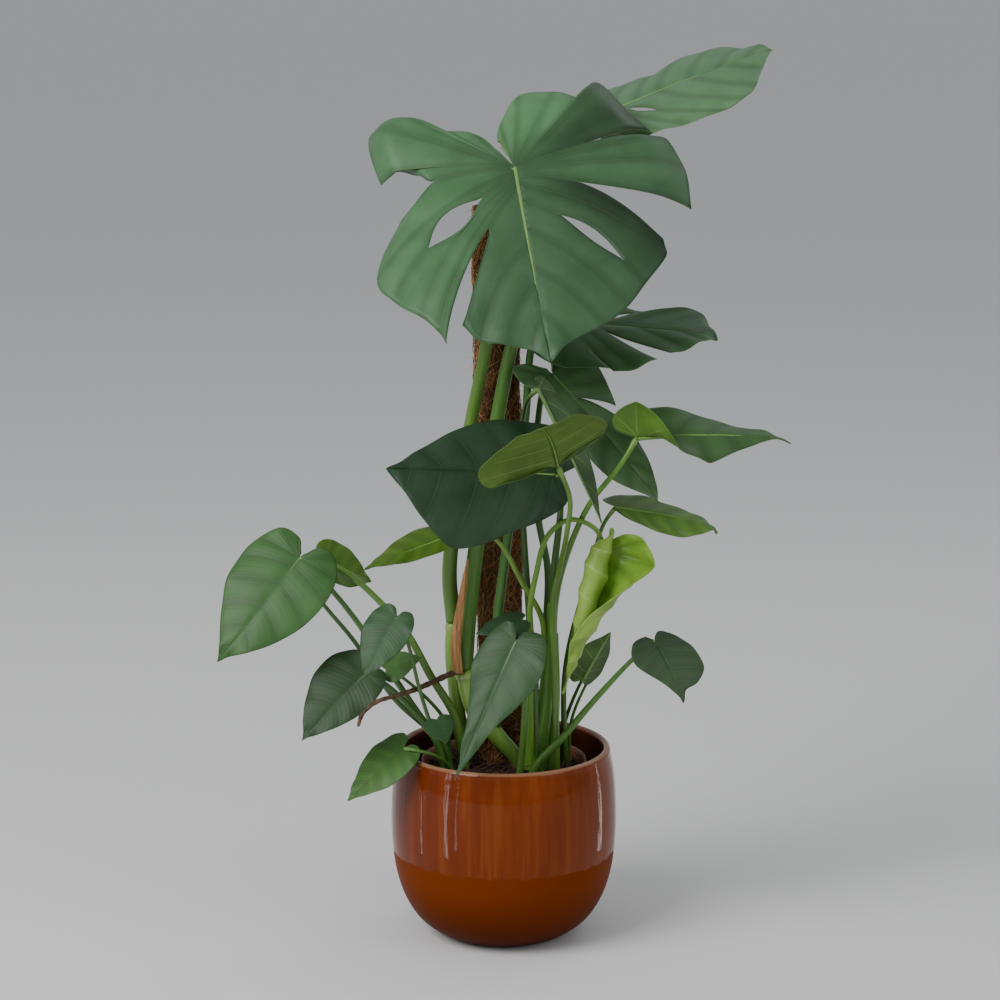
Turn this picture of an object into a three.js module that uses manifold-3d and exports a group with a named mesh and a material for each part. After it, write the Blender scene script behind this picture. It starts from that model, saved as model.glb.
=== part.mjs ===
// A swiss cheese plant (Monstera) on a coir pole, in its nursery pot inside a glazed ceramic pot.
// Millimetres, +Z up. The origin is the middle of the glazed pot's underside, and -Y is the plant's front.
import * as THREE from 'three';
import { mergeVertices } from 'three/addons/utils/BufferGeometryUtils.js';
import Module from 'manifold-3d';

const wasm = await Module();
wasm.setup();

// Driving dimensions
const GAP = 0.3; // clearance between pieces that touch
const POT_BELLY_RADIUS = 120;
const POT_HEIGHT = 205;
const POT_RIM_RADIUS = 113;
const POT_FOOT_RADIUS = 56;
const POT_WALL = 8;
const POT_FLOOR = 10;
const NURSERY_RIM_RADIUS = 88;
const NURSERY_FOOT_RADIUS = 62;
const NURSERY_TOP = 190;
const NURSERY_WALL = 1.6;
const SOIL_TOP = 181;
const SOIL_RELIEF = 2;
const POLE_RADIUS = 24.5;
const POLE_TOP = 775;
const POLE_BURIED = 60;
const POLE_FOOT = [-2, 26];
const POLE_HEAD = [-9, 26];
const STAKE_RADIUS = 8;
const BLADE_THICKNESS = 0.9;
const SWELLING = 1.25; // how much thicker a stalk ends at its blade

// Numbers of faces
const POT_SIDES = 36;
const NURSERY_SIDES = 24;
const POLE_SIDES = 14;
const SOIL_SIDES = 18;
const THICK_STALK = 5; // stalks of at least this foot radius have six sides and the others five
const LONG_BLADE = 100; // blades at least this long have a raised midrib underneath
const KEEL_ROW = 0.05; // how far out along a vein that midrib's edge lies

// Outlines of half blades: [foot of the vein on the midrib, how far along the blade the vein ends, how far
// across]. Along is in blade lengths from the stalk, across in half widths. This one is a plain heart.
const HEART = [
  [0, -0.04, 0.03], [0, -0.14, 0.24], [0, -0.14, 0.6], [0, 0, 0.9], [0.08, 0.2, 1], [0.25, 0.42, 0.92],
  [0.46, 0.62, 0.69], [0.67, 0.8, 0.38], [0.85, 0.91, 0.13], [1, 1, 0],
];
// A shallow notch at the stalk and the greatest width further out.
const OVAL = [
  [0, -0.02, 0.03], [0, -0.07, 0.24], [0, -0.05, 0.56], [0, 0.09, 0.86], [0.1, 0.3, 1], [0.28, 0.5, 0.97],
  [0.48, 0.68, 0.76], [0.69, 0.83, 0.42], [0.86, 0.93, 0.14], [1, 1, 0],
];
// Broad far out.
const BROAD = [
  [0, -0.02, 0.03], [0, -0.06, 0.22], [0, -0.04, 0.44], [0.02, 0.1, 0.66], [0.1, 0.28, 0.84],
  [0.26, 0.47, 1.04], [0.46, 0.65, 1.06], [0.68, 0.8, 0.68], [0.86, 0.9, 0.32], [1, 1, 0],
];
// Broad at the stalk and drawn out to a long tip.
const TAILED = [
  [0, -0.03, 0.05], [0, -0.1, 0.3], [0, -0.08, 0.7], [0, 0.06, 0.94], [0.08, 0.22, 0.98],
  [0.24, 0.4, 0.76], [0.44, 0.57, 0.46], [0.66, 0.75, 0.24], [0.84, 0.88, 0.1], [1, 1, 0],
];
// Broad, with a short tip that is set off from the rest.
const NOTCHED = [
  [0, -0.04, 0.03], [0, -0.1, 0.2], [0, -0.06, 0.44], [0, 0.08, 0.68], [0.08, 0.26, 0.92],
  [0.25, 0.46, 1.04], [0.46, 0.66, 0.96], [0.66, 0.8, 0.6], [0.82, 0.84, 0.2], [1, 1, 0],
];
// Narrow beyond a broad lobe at the stalk.
const HOOD = [
  [0, -0.04, 0.03], [0, -0.14, 0.24], [0, -0.14, 0.5], [0, 0, 0.78], [0.06, 0.17, 0.84], [0.2, 0.32, 0.74],
  [0.4, 0.47, 0.6], [0.6, 0.64, 0.34], [0.82, 0.82, 0.12], [1, 1, 0],
];
// Widest past the middle, with no lobe at the stalk.
const BELLIED = [
  [0, -0.02, 0.02], [0, -0.02, 0.1], [0, 0.04, 0.22], [0, 0.14, 0.36], [0.1, 0.33, 0.56],
  [0.28, 0.52, 0.68], [0.48, 0.7, 0.64], [0.69, 0.84, 0.42], [0.86, 0.94, 0.18], [1, 1, 0],
];
// A small blade.
const SMALL = [
  [0, -0.05, 0.05], [0, -0.14, 0.4], [0, 0.02, 0.9], [0.12, 0.26, 1], [0.4, 0.56, 0.74],
  [0.72, 0.84, 0.28], [1, 1, 0],
];

// The same outline with other half widths.
const widened = (edge, factor) => edge.map(([foot, along, across]) => [foot, along, across * factor]);

// The halves of the split blades, as lobes. cut is where the slit after a lobe begins, from 0 at the midrib
// to 1 at the margin, and gape is how much wider it is half way. A window is a hole along one vein.
const CROWN_LEFT = [
  {
    edge: [[0, -0.09, 0.03], [0, -0.14, -0.01], [0, -0.16, -0.07], [0, -0.25, -0.04], [0, -0.4, 0.1],
      [0, -0.46, 0.34], [0, -0.42, 0.52], [0, -0.51, 0.66], [0, -0.24, 0.95]],
    cut: 0.45,
  },
  {
    edge: [[0, -0.18, 0.85], [0.01, -0.15, 0.99], [0.02, 0, 1.07], [0.04, 0.25, 1.05]],
    cut: 0.34,
  },
  {
    edge: [[0.04, 0.42, 0.82], [0.1, 0.5, 0.83], [0.18, 0.65, 0.66], [0.34, 0.76, 0.53],
      [0.54, 0.84, 0.36], [0.76, 0.91, 0.14], [1, 1, 0]],
    window: { station: 2, from: 0.3, to: 0.8, width: 13 },
  },
];
const CROWN_RIGHT = [
  {
    edge: [[0, -0.05, 0.05], [0, -0.13, 0.12], [0, -0.24, 0.25], [0, -0.32, 0.48], [0, -0.44, 0.75],
      [0, -0.38, 0.92], [0, -0.09, 0.9], [0, -0.14, 0.78], [0, -0.08, 0.6]],
    cut: 0.72,
  },
  {
    edge: [[0, 0.16, 0.74], [0.03, 0.46, 0.92], [0.06, 0.6, 0.84], [0.08, 0.69, 0.7], [0.1, 0.78, 0.61],
      [0.1, 0.86, 0.56]],
    cut: 0.4, gape: 24,
    window: { station: 2, from: 0.25, to: 0.66, width: 24 },
  },
  {
    edge: [[0.1, 0.77, 0.46], [0.42, 0.85, 0.38], [0.62, 0.89, 0.23], [0.8, 0.93, 0.09], [1, 1, 0]],
  },
];
const SAIL_LEFT = [
  {
    edge: [[0, -0.02, 0.1], [0, -0.06, 0.4], [0, -0.02, 0.68], [0, 0.08, 0.79], [0.08, 0.22, 0.81],
      [0.22, 0.36, 0.82], [0.34, 0.52, 0.88], [0.52, 0.71, 0.84], [0.7, 0.86, 0.56], [0.86, 0.96, 0.26],
      [1, 1, 0]],
  },
];
const SAIL_RIGHT = [
  {
    edge: [[0, -0.02, 0.08], [0, -0.06, 0.4], [0, 0, 0.7], [0, 0.11, 0.86], [0.04, 0.28, 1],
      [0.08, 0.43, 1.08], [0.12, 0.62, 1.06], [0.34, 0.75, 1.02], [0.54, 0.84, 0.76], [0.74, 0.91, 0.34],
      [1, 1, 0]],
    window: { station: 6, from: 0.12, to: 0.45, width: 9 },
  },
];
const RAIL_LEFT = [
  {
    edge: [[0, -0.05, 0.04], [0, -0.2, 0.3], [0, -0.2, 0.7], [0, 0.04, 0.9], [0.1, 0.32, 0.76],
      [0.2, 0.54, 0.58], [0.42, 0.8, 0.76], [0.62, 0.9, 0.64], [0.84, 0.95, 0.24], [1, 1, 0]],
    window: { station: 5, from: 0.12, to: 0.8, width: 15 },
  },
];
const RAIL_RIGHT = [
  {
    edge: [[0, -0.05, 0.04], [0, -0.18, 0.3], [0, -0.14, 0.7], [0, 0.06, 1.02], [0.06, 0.34, 1.06]],
    cut: 0.6,
  },
  {
    edge: [[0.06, 0.36, 1.1], [0.14, 0.5, 1.02], [0.22, 0.62, 0.8]],
    cut: 0.2,
  },
  {
    edge: [[0.22, 0.7, 0.6], [0.5, 0.82, 0.42], [0.76, 0.91, 0.2], [1, 1, 0]],
  },
];
const FLAG_LEFT = [
  {
    edge: [[0, -0.05, 0.04], [0, -0.16, 0.3], [0, -0.14, 0.6], [0.04, 0.06, 0.72], [0.1, 0.22, 0.64],
      [0.18, 0.38, 0.5]],
    cut: 0.12,
  },
  {
    edge: [[0.18, 0.5, 0.45], [0.42, 0.66, 0.4], [0.68, 0.83, 0.24], [0.86, 0.93, 0.1], [1, 1, 0]],
  },
];
const FLAG_RIGHT = [
  {
    edge: [[0, -0.05, 0.04], [0, -0.14, 0.24], [0, -0.18, 0.5], [0, -0.08, 0.62], [0.08, 0.06, 0.42]],
    cut: 0.5,
  },
  {
    edge: [[0.08, 0.2, 0.4], [0.28, 0.42, 0.54], [0.5, 0.65, 0.54], [0.72, 0.82, 0.28], [1, 1, 0]],
  },
];
const UNDER_LEFT = [
  {
    edge: [[0, 0.04, 0.06], [0, 0.12, 0.24], [0, 0.2, 0.5], [0, 0.28, 0.74], [0.12, 0.4, 0.82],
      [0.3, 0.56, 0.76], [0.5, 0.76, 0.56], [0.7, 0.92, 0.34], [0.86, 1, 0.12], [1, 1, 0]],
  },
];
const UNDER_RIGHT = [
  {
    edge: [[0, 0.02, 0.12], [0, 0.06, 0.4], [0, 0.08, 0.8], [0, 0.1, 1.08], [0.1, 0.3, 1.2],
      [0.28, 0.6, 1.08], [0.48, 0.8, 0.74], [0.68, 0.94, 0.42], [0.86, 1.02, 0.16], [1, 1, 0]],
  },
];

// The leaves. stalk: the points that the stalk follows, from its foot to the blade. radius: of the stalk at
// its foot and at the blade. aim: azimuth and elevation of the midrib in degrees. roll turns the blade's left
// half down. droop bends the midrib down, sway bends it to the left, hook bends its last stretch. fold raises
// the halves at the midrib, arch bends them down towards the margin and curl bends the ends of the veins
// down: a number, or a list from the stalk end to the tip for the [left, right] half. crest: how far out
// along the veins curl begins, and over what share of them it grows to its full angle.
const LEAVES = [
  {
    name: 'leaf_crown', colour: 0x3f6b4a, rows: 5,
    stalk: [[-53, 2, 339], [-57, 0, 385], [-54, -4, 430], [-34, -12, 554],
      [-17, -16, 640], [-4, -10, 730], [8, 6, 800], [11, -6, 817]],
    radius: [8.2, 5],
    aim: [-79, -46], roll: -8, length: 234, width: 340, droop: 8, hook: 6, sway: 2,
    fold: [[4, 4, 4, 4], [12, 6, 4, 4]], arch: 22,
    crest: [0.7, 0.16], curl: [[0, 10, 30, 10, 0, 0], [0, 40, 52, 44, 5, 0, 0, 0, 0]],
    left: CROWN_LEFT, right: CROWN_RIGHT,
  },
  {
    name: 'leaf_sail', colour: 0x4a7a50, rows: 3,
    stalk: [[-42, -15, 292], [-38, -15, 344], [-29, -15, 419], [-7, -17, 557],
      [8, -15, 635], [34, 12, 730], [71, 84, 813], [103, 154, 858]],
    radius: [9.5, 4.5],
    aim: [-2, 24], roll: -18, length: 196, width: 180, droop: 6, hook: 6,
    fold: 2, arch: 16, curl: 0,
    left: SAIL_LEFT, right: SAIL_RIGHT,
  },
  {
    name: 'leaf_rail', colour: 0x3c6444, rows: 5,
    stalk: [[-10, -12, 216], [-8, -16, 262], [-8, -19, 324], [3, -20, 426],
      [22, -16, 557], [29, -8, 634], [42, 4, 662], [58, 8, 654]],
    radius: [6, 3.6],
    aim: [-4, -1], roll: -16, length: 165, width: 160, droop: 6, hook: 25,
    fold: 0, arch: [[4, 4], [20, 10]], curl: 0,
    left: RAIL_LEFT, right: RAIL_RIGHT,
  },
  {
    name: 'leaf_flag', colour: 0x36593c, rows: 3,
    stalk: [[44, 0, 160], [43, -2, 220], [44, -3, 320], [46, -4, 396],
      [36, -2, 452], [34, -2, 534], [42, -4, 592], [51, -20, 605]],
    radius: [4.5, 3],
    aim: [-24, -44], roll: -34, length: 172, width: 124, droop: 8, hook: 10,
    fold: 6, arch: 6, curl: [[-130, -70, 0, 0, 0], [0, 0, 0, 0, 0]],
    left: FLAG_LEFT, right: FLAG_RIGHT,
  },
  {
    name: 'leaf_slip', colour: 0x55705a, rows: 2,
    stalk: [[30, -16, 296], [27, -20, 345], [20, -26, 453], [17, -38, 530],
      [19, -52, 563], [25, -82, 591], [35, -92, 603]],
    radius: [4, 2.2],
    aim: [-18, -62], roll: 60, length: 150, width: 34, droop: 4, hook: 0,
    fold: 62, arch: 14, curl: 0,
    left: [{ edge: OVAL }], right: [{ edge: OVAL }],
  },
  {
    name: 'leaf_shade', colour: 0x24452e, rows: 3,
    stalk: [[49, -24, 316], [52, -36, 401], [58, -64, 478], [53, -86, 513]],
    radius: [4.5, 3],
    aim: [-166, 6], roll: 58, length: 175, width: 152, droop: 6, hook: 6,
    fold: 4, arch: 14, curl: 0,
    left: [{ edge: BROAD }], right: [{ edge: widened(HEART, 0.78) }],
  },
  {
    name: 'leaf_underside', colour: 0x6f9440, rows: 2,
    stalk: [[56, -36, 160], [54, -38, 260], [51, -42, 372], [57, -56, 407],
      [64, -98, 457], [66, -114, 495], [54, -118, 528]],
    radius: [4, 2.4],
    aim: [-112, 64], roll: -25, length: 96, width: 140, droop: 60, hook: 0, sway: -16,
    fold: [[10, 10], [-20, -8]], arch: 16, curl: 0,
    left: UNDER_LEFT, right: UNDER_RIGHT,
  },
  {
    name: 'leaf_twist', colour: 0x4c7c3c, rows: 2,
    stalk: [[53, -17, 296], [53, -18, 355], [61, -30, 403], [87, -68, 478],
      [118, -86, 523], [135, -82, 551]],
    radius: [4, 2.4],
    aim: [4, 4], roll: -16, length: 160, width: 100, droop: 12, hook: 24,
    fold: [[34, 20, -2, -10], [90, 105, 100, 10, -40, -40, 0]], arch: 12, curl: 0,
    left: [{ edge: HEART }], right: [{ edge: HOOD }],
  },
  {
    name: 'leaf_blade', colour: 0x4f7d3a, rows: 2,
    stalk: [[68, 4, 160], [64, 2, 226], [64, 0, 275], [70, -6, 320],
      [90, -16, 398], [103, -26, 448], [116, -31, 469]],
    radius: [3.4, 2],
    aim: [-14, -4], roll: 6, length: 112, width: 70, droop: 10, hook: 40,
    fold: [[24, 20, 10], [-44, -50, -30]], arch: 10, curl: 0,
    left: [{ edge: HEART }], right: [{ edge: BELLIED }],
  },
  {
    name: 'leaf_scroll', colour: 0x8fb84c, rows: 6,
    stalk: [[30, -26, 182], [32, -36, 283], [27, -47, 362], [33, -54, 401],
      [45, -60, 444], [68, -64, 462], [94, -64, 452], [103, -62, 430]],
    radius: [3.8, 2.4],
    aim: [-152, -72], roll: 55, length: 156, width: 150, droop: 4, hook: 0,
    fold: [[-20, -10, 0], [0, 0]], arch: [[-60, -90, -240, -300], [-330, -320]], curl: 0,
  },
  {
    name: 'leaf_disc', colour: 0x33573a, rows: 2,
    stalk: [[24, -46, 162], [34, -50, 195], [63, -52, 229], [90, -54, 263],
      [133, -60, 313], [156, -61, 334]],
    radius: [5, 2],
    aim: [-42, -54], roll: -24, length: 72, width: 76, droop: 6, hook: 30,
    fold: 4, arch: 14, curl: 0,
    left: [{ edge: NOTCHED }], right: [{ edge: widened(TAILED, 0.86) }],
  },
  {
    name: 'leaf_cup', colour: 0x2f5a33, rows: 2,
    stalk: [[62, 14, 160], [64, 10, 220], [79, -8, 270], [84, -18, 282]],
    radius: [2.6, 1.6],
    aim: [-15, 62], roll: 50, length: 60, width: 46, droop: 4, hook: 0,
    fold: 24, arch: 10, curl: 0,
    left: [{ edge: SMALL }], right: [{ edge: SMALL }],
  },
  {
    name: 'leaf_spear', colour: 0x7fa648, rows: 2,
    stalk: [[70, 16, 160], [72, 14, 226], [90, 4, 275], [93, 0, 282]],
    radius: [2.2, 1.4],
    aim: [-20, 62], roll: 30, length: 34, width: 12, droop: 4, hook: 0,
    fold: 50, arch: 20, curl: 0,
    left: [{ edge: SMALL }], right: [{ edge: SMALL }],
  },
  {
    name: 'leaf_front', colour: 0x3b6447, rows: 2,
    stalk: [[14, -44, 162], [20, -48, 221], [22, -60, 279], [19, -78, 323], [12, -88, 340]],
    radius: [4, 2.6],
    aim: [-137, -56], roll: 24, length: 156, width: 84, droop: 4, hook: 0,
    fold: 12, arch: 24, curl: 0,
    left: [{ edge: TAILED }], right: [{ edge: widened(TAILED, 0.8) }],
  },
  {
    name: 'leaf_tuck', colour: 0x2f4d37, rows: 2,
    stalk: [[36, -42, 162], [34, -44, 237], [30, -48, 312], [18, -44, 352]],
    radius: [3, 2],
    aim: [-165, -10], roll: 20, length: 50, width: 46, droop: 10, hook: 0,
    fold: 0, arch: 20, curl: 0,
    left: [{ edge: SMALL }], right: [{ edge: SMALL }],
  },
  {
    name: 'leaf_lantern', colour: 0x3f7540, rows: 2,
    stalk: [[-54, -24, 160], [-62, -26, 208], [-88, -32, 245], [-121, -40, 299],
      [-154, -45, 352], [-182, -46, 388], [-210, -58, 421]],
    radius: [4.2, 2.4],
    aim: [-137, -44], roll: 34, length: 138, width: 112, droop: 14, hook: 10, sway: -12,
    fold: 6, arch: 22, curl: 0,
    left: [{ edge: widened(HEART, 0.9) }], right: [{ edge: HEART }],
  },
  {
    name: 'leaf_wing', colour: 0x6b9440, rows: 2,
    stalk: [[-38, -12, 160], [-44, -12, 205], [-52, -16, 241], [-77, -26, 287],
      [-100, -30, 332], [-126, -30, 364], [-160, -26, 395], [-188, -20, 410]],
    radius: [5.5, 2.6],
    aim: [30, -26], roll: -50, length: 66, width: 54, droop: 6, hook: 10,
    fold: 14, arch: 10, curl: 0,
  },
  {
    name: 'leaf_shy', colour: 0x4f7a3a, rows: 2,
    stalk: [[-54, 6, 162], [-62, 4, 200], [-115, -10, 257], [-159, -12, 323],
      [-182, -14, 352], [-213, -26, 394]],
    radius: [3.4, 2],
    aim: [-150, -40], roll: 34, length: 92, width: 84, droop: 10, hook: 0,
    fold: 4, arch: 16, curl: 0,
  },
  {
    name: 'leaf_mitten', colour: 0x35604a, rows: 2,
    stalk: [[-60, -46, 162], [-65, -50, 212], [-72, -56, 230], [-87, -72, 284],
      [-98, -85, 335], [-110, -90, 365]],
    radius: [2.6, 1.7],
    aim: [-134, -48], roll: 24, length: 72, width: 56, droop: 8, hook: 0,
    fold: 8, arch: 20, curl: 0,
    left: [{ edge: widened(HEART, 0.84) }], right: [{ edge: HEART }],
  },
  {
    name: 'leaf_shield', colour: 0x37603f, rows: 2,
    stalk: [[-60, -34, 162], [-65, -38, 200], [-77, -46, 232], [-120, -62, 285], [-143, -68, 300]],
    radius: [4.2, 2.4],
    aim: [-150, -38], roll: 40, length: 96, width: 84, droop: 6, hook: 10,
    fold: 10, arch: 20, curl: 0,
    left: [{ edge: widened(HEART, 0.68) }], right: [{ edge: HEART }],
  },
  {
    name: 'leaf_coin', colour: 0x4f8048, rows: 2,
    stalk: [[-58, -8, 162], [-59, -12, 222], [-66, -20, 243], [-104, -46, 289], [-121, -54, 301]],
    radius: [2.4, 1.6],
    aim: [-12, 24], roll: -40, length: 40, width: 38, droop: 6, hook: 0,
    fold: 4, arch: 14, curl: 0,
    left: [{ edge: SMALL }], right: [{ edge: SMALL }],
  },
  {
    name: 'leaf_bud', colour: 0x35593c, rows: 2,
    stalk: [[-50, -50, 162], [-55, -57, 200], [-64, -80, 238], [-69, -94, 258]],
    radius: [1.8, 1.3],
    aim: [-50, -50], roll: -20, length: 27, width: 34, droop: 6, hook: 0,
    fold: 6, arch: 10, curl: 0,
    left: [{ edge: SMALL }], right: [{ edge: SMALL }],
  },
  {
    name: 'leaf_rim', colour: 0x4f8a3c, rows: 2,
    stalk: [[-48, -40, 160], [-52, -46, 188], [-72, -60, 210], [-92, -68, 218], [-105, -58, 217]],
    radius: [2.2, 1.6],
    aim: [-158, -36], roll: 26, length: 80, width: 56, droop: 8, hook: 0,
    fold: 6, arch: 16, curl: 0,
  },
  {
    name: 'leaf_lime', colour: 0x7fae4e, rows: 2,
    stalk: [[41, -28, 292], [40, -32, 348], [18, -36, 391], [-4, -42, 432],
      [-28, -44, 451], [-54, -38, 441]],
    radius: [3.4, 2],
    aim: [-155, -14], roll: 10, length: 102, width: 46, droop: 4, hook: 0,
    fold: [[-30, -30], [24, 24]], arch: 10, curl: 0,
    left: [{ edge: widened(HEART, 0.66) }], right: [{ edge: HEART }],
  },
];

const DEG = Math.PI / 180;
const vec = (x, y, z) => new THREE.Vector3(x, y, z);
const smooth = (x) => {
  const t = Math.min(Math.max(x, 0), 1);
  return t * t * (3 - 2 * t);
};

// A closed mesh as a solid. Vertices closer than a thousandth of a millimetre are the same.
function solidOf(geometry) {
  const bare = new THREE.BufferGeometry();
  const plain = geometry.index ? geometry.toNonIndexed() : geometry;
  bare.setAttribute('position', plain.getAttribute('position'));
  const merged = mergeVertices(bare, 1e-3);
  return new wasm.Manifold(new wasm.Mesh({
    numProp: 3,
    vertProperties: new Float32Array(merged.attributes.position.array),
    triVerts: new Uint32Array(merged.index.array),
  }));
}

// A solid as a geometry again.
function geometryOf(solid) {
  const mesh = solid.getMesh();
  const geometry = new THREE.BufferGeometry();
  geometry.setAttribute('position', new THREE.BufferAttribute(new Float32Array(mesh.vertProperties), 3));
  geometry.setIndex(new THREE.BufferAttribute(new Uint32Array(mesh.triVerts), 1));
  return geometry;
}

// Points and triangles as a geometry.
function geometryFrom(points, triangles) {
  const geometry = new THREE.BufferGeometry();
  geometry.setFromPoints(points);
  geometry.setIndex(triangles.flat());
  return geometry;
}

function fuse(solids) {
  return solids.reduce((all, next) => all.add(next));
}

// The largest body that is left when clearances are cut away.
function cutClear(solid, clearances) {
  const cut = clearances.reduce((rest, tool) => rest.subtract(tool), solid);
  return cut.decompose().sort((a, b) => b.volume() - a.volume())[0];
}

// A closed round sweep along a smooth curve. radiusAt gives the radius at each fraction of its length.
function sweep(points, radiusAt, sides, steps) {
  const curve = new THREE.CatmullRomCurve3(points.map((p) => vec(...p)), false, 'centripetal');
  const frames = curve.computeFrenetFrames(steps, false);
  const vertices = [];
  const triangles = [];
  for (let i = 0; i <= steps; i += 1) {
    const centre = curve.getPointAt(i / steps);
    for (let k = 0; k < sides; k += 1) {
      const angle = (k / sides) * 2 * Math.PI;
      const offset = frames.normals[i].clone().multiplyScalar(Math.cos(angle))
        .addScaledVector(frames.binormals[i], Math.sin(angle));
      vertices.push(centre.clone().addScaledVector(offset, radiusAt(i / steps)));
    }
  }
  for (let i = 0; i < steps; i += 1) {
    for (let k = 0; k < sides; k += 1) {
      const a = i * sides + k;
      const b = i * sides + ((k + 1) % sides);
      triangles.push([a, b, b + sides], [a, b + sides, a + sides]);
    }
  }
  const first = vertices.push(curve.getPointAt(0)) - 1;
  const last = vertices.push(curve.getPointAt(1)) - 1;
  for (let k = 0; k < sides; k += 1) {
    const next = (k + 1) % sides;
    triangles.push([first, next, k], [last, steps * sides + k, steps * sides + next]);
  }
  return solidOf(geometryFrom(vertices, triangles));
}

// A point on a smooth curve through rows of numbers, at a place counted in rows.
function through(rows, place) {
  const last = rows.length - 1;
  const i = Math.min(Math.floor(place), last - 1);
  const t = place - i;
  const row = (k) => {
    if (k < 0) return rows[0].map((value, n) => 2 * value - rows[1][n]);
    if (k > last) return rows[last].map((value, n) => 2 * value - rows[last - 1][n]);
    return rows[k];
  };
  const [a, b, c, d] = [row(i - 1), row(i), row(i + 1), row(i + 2)];
  return b.map((value, n) => 0.5 * (2 * value + (c[n] - a[n]) * t
    + (2 * a[n] - 5 * b[n] + 4 * c[n] - d[n]) * t * t + (3 * b[n] - a[n] - 3 * c[n] + d[n]) * t ** 3));
}

// A number, or the value of a list spread evenly from 0 to 1, for one side of the blade.
function shapeAt(value, side, place) {
  const own = Array.isArray(value) ? value[side > 0 ? 0 : 1] : value;
  if (!Array.isArray(own)) return own;
  const at = Math.min(Math.max(place, 0), 1) * (own.length - 1);
  const i = Math.min(Math.floor(at), own.length - 2);
  return own[i] + (own[i + 1] - own[i]) * (at - i);
}

// The midrib as a curve: position, direction, upward normal and leftward side at a fraction of its length.
function midrib(leaf) {
  const samples = 100;
  const [azimuth, elevation] = leaf.aim.map((angle) => angle * DEG);
  const roll = leaf.roll * DEG;
  const [level, rise] = [Math.cos(elevation), Math.sin(elevation)];
  const ahead = vec(level * Math.cos(azimuth), level * Math.sin(azimuth), rise);
  const up0 = vec(-rise * Math.cos(azimuth), -rise * Math.sin(azimuth), level);
  const left0 = up0.clone().cross(ahead);
  const up = up0.clone().multiplyScalar(Math.cos(roll)).addScaledVector(left0, Math.sin(roll));
  const left = left0.clone().multiplyScalar(Math.cos(roll)).addScaledVector(up0, -Math.sin(roll));
  const table = [];
  const at = vec(...leaf.stalk[leaf.stalk.length - 1]);
  for (let i = 0; i <= samples; i += 1) {
    const s = i / samples;
    const down = (leaf.droop * s + leaf.hook * smooth((s - 0.85) / 0.15)) * DEG;
    const aside = (leaf.sway || 0) * s * DEG;
    const direction = ahead.clone().multiplyScalar(Math.cos(down) * Math.cos(aside))
      .addScaledVector(up, -Math.sin(down) * Math.cos(aside)).addScaledVector(left, Math.sin(aside));
    const normal = up.clone().multiplyScalar(Math.cos(down)).addScaledVector(ahead, Math.sin(down));
    normal.addScaledVector(direction, -normal.dot(direction)).normalize();
    if (i > 0) at.addScaledVector(direction, leaf.length / samples);
    table.push({ at: at.clone(), direction, normal, left: normal.clone().cross(direction) });
  }
  return (s) => {
    const i = Math.min(Math.floor(s * samples), samples - 1);
    const t = s * samples - i;
    const mix = (key) => table[i][key].clone().lerp(table[i + 1][key], t);
    return {
      at: mix('at'), direction: mix('direction').normalize(), normal: mix('normal').normalize(),
      left: mix('left').normalize(),
    };
  };
}

// How far out along each vein its points lie. Blades with a raised midrib have a first point close to it.
function veinRows(leaf) {
  const even = Array.from({ length: leaf.rows + 1 }, (_, i) => i / leaf.rows);
  if (leaf.length >= LONG_BLADE) even.splice(1, 0, KEEL_ROW);
  return even;
}

// One vein of a half blade as points from the midrib to the margin. In the flat it is a bowed line from its
// foot to its end; the half is folded up at the midrib, arched down across and curled down at the vein's end.
function vein(leaf, side, rib, station, place) {
  const [foot, along, across] = station;
  const frame = rib(foot);
  const start = [foot * leaf.length, 0];
  const end = [along * leaf.length, across * leaf.width / 2];
  const bow = Math.max(end[0] - start[0], 0) * 0.18;
  const bend = [(start[0] + end[0]) / 2 - bow, (start[1] + end[1]) / 2 + end[1] * 0.08];
  const flat = (t) => [0, 1].map((n) => (1 - t) ** 2 * start[n] + 2 * t * (1 - t) * bend[n]
    + t * t * end[n]);
  const fold = shapeAt(leaf.fold, side, place);
  const arch = shapeAt(leaf.arch, side, place);
  const curl = shapeAt(leaf.curl, side, place);
  const [crest, spread] = leaf.crest || [0.45, 0.55];
  const outward = frame.left.clone().multiplyScalar(side);
  const rows = veinRows(leaf);
  const points = [frame.at];
  for (let i = 0; i < rows.length - 1; i += 1) {
    const middle = (rows[i] + rows[i + 1]) / 2;
    const tilt = (fold - arch * middle) * DEG;
    const dip = curl * smooth((middle - crest) / spread) * DEG;
    const [level, rise] = [Math.cos(tilt), Math.sin(tilt)];
    const across3 = outward.clone().multiplyScalar(level).addScaledVector(frame.normal, rise);
    const above = frame.normal.clone().multiplyScalar(level).addScaledVector(outward, -rise);
    const [a, b] = [flat(rows[i]), flat(rows[i + 1])];
    const step = frame.direction.clone().multiplyScalar(b[0] - a[0]).addScaledVector(across3, b[1] - a[1]);
    const length = step.length();
    step.multiplyScalar(Math.cos(dip)).addScaledVector(above, -Math.sin(dip) * length);
    points.push(points[i].clone().add(step));
  }
  return points;
}

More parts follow.
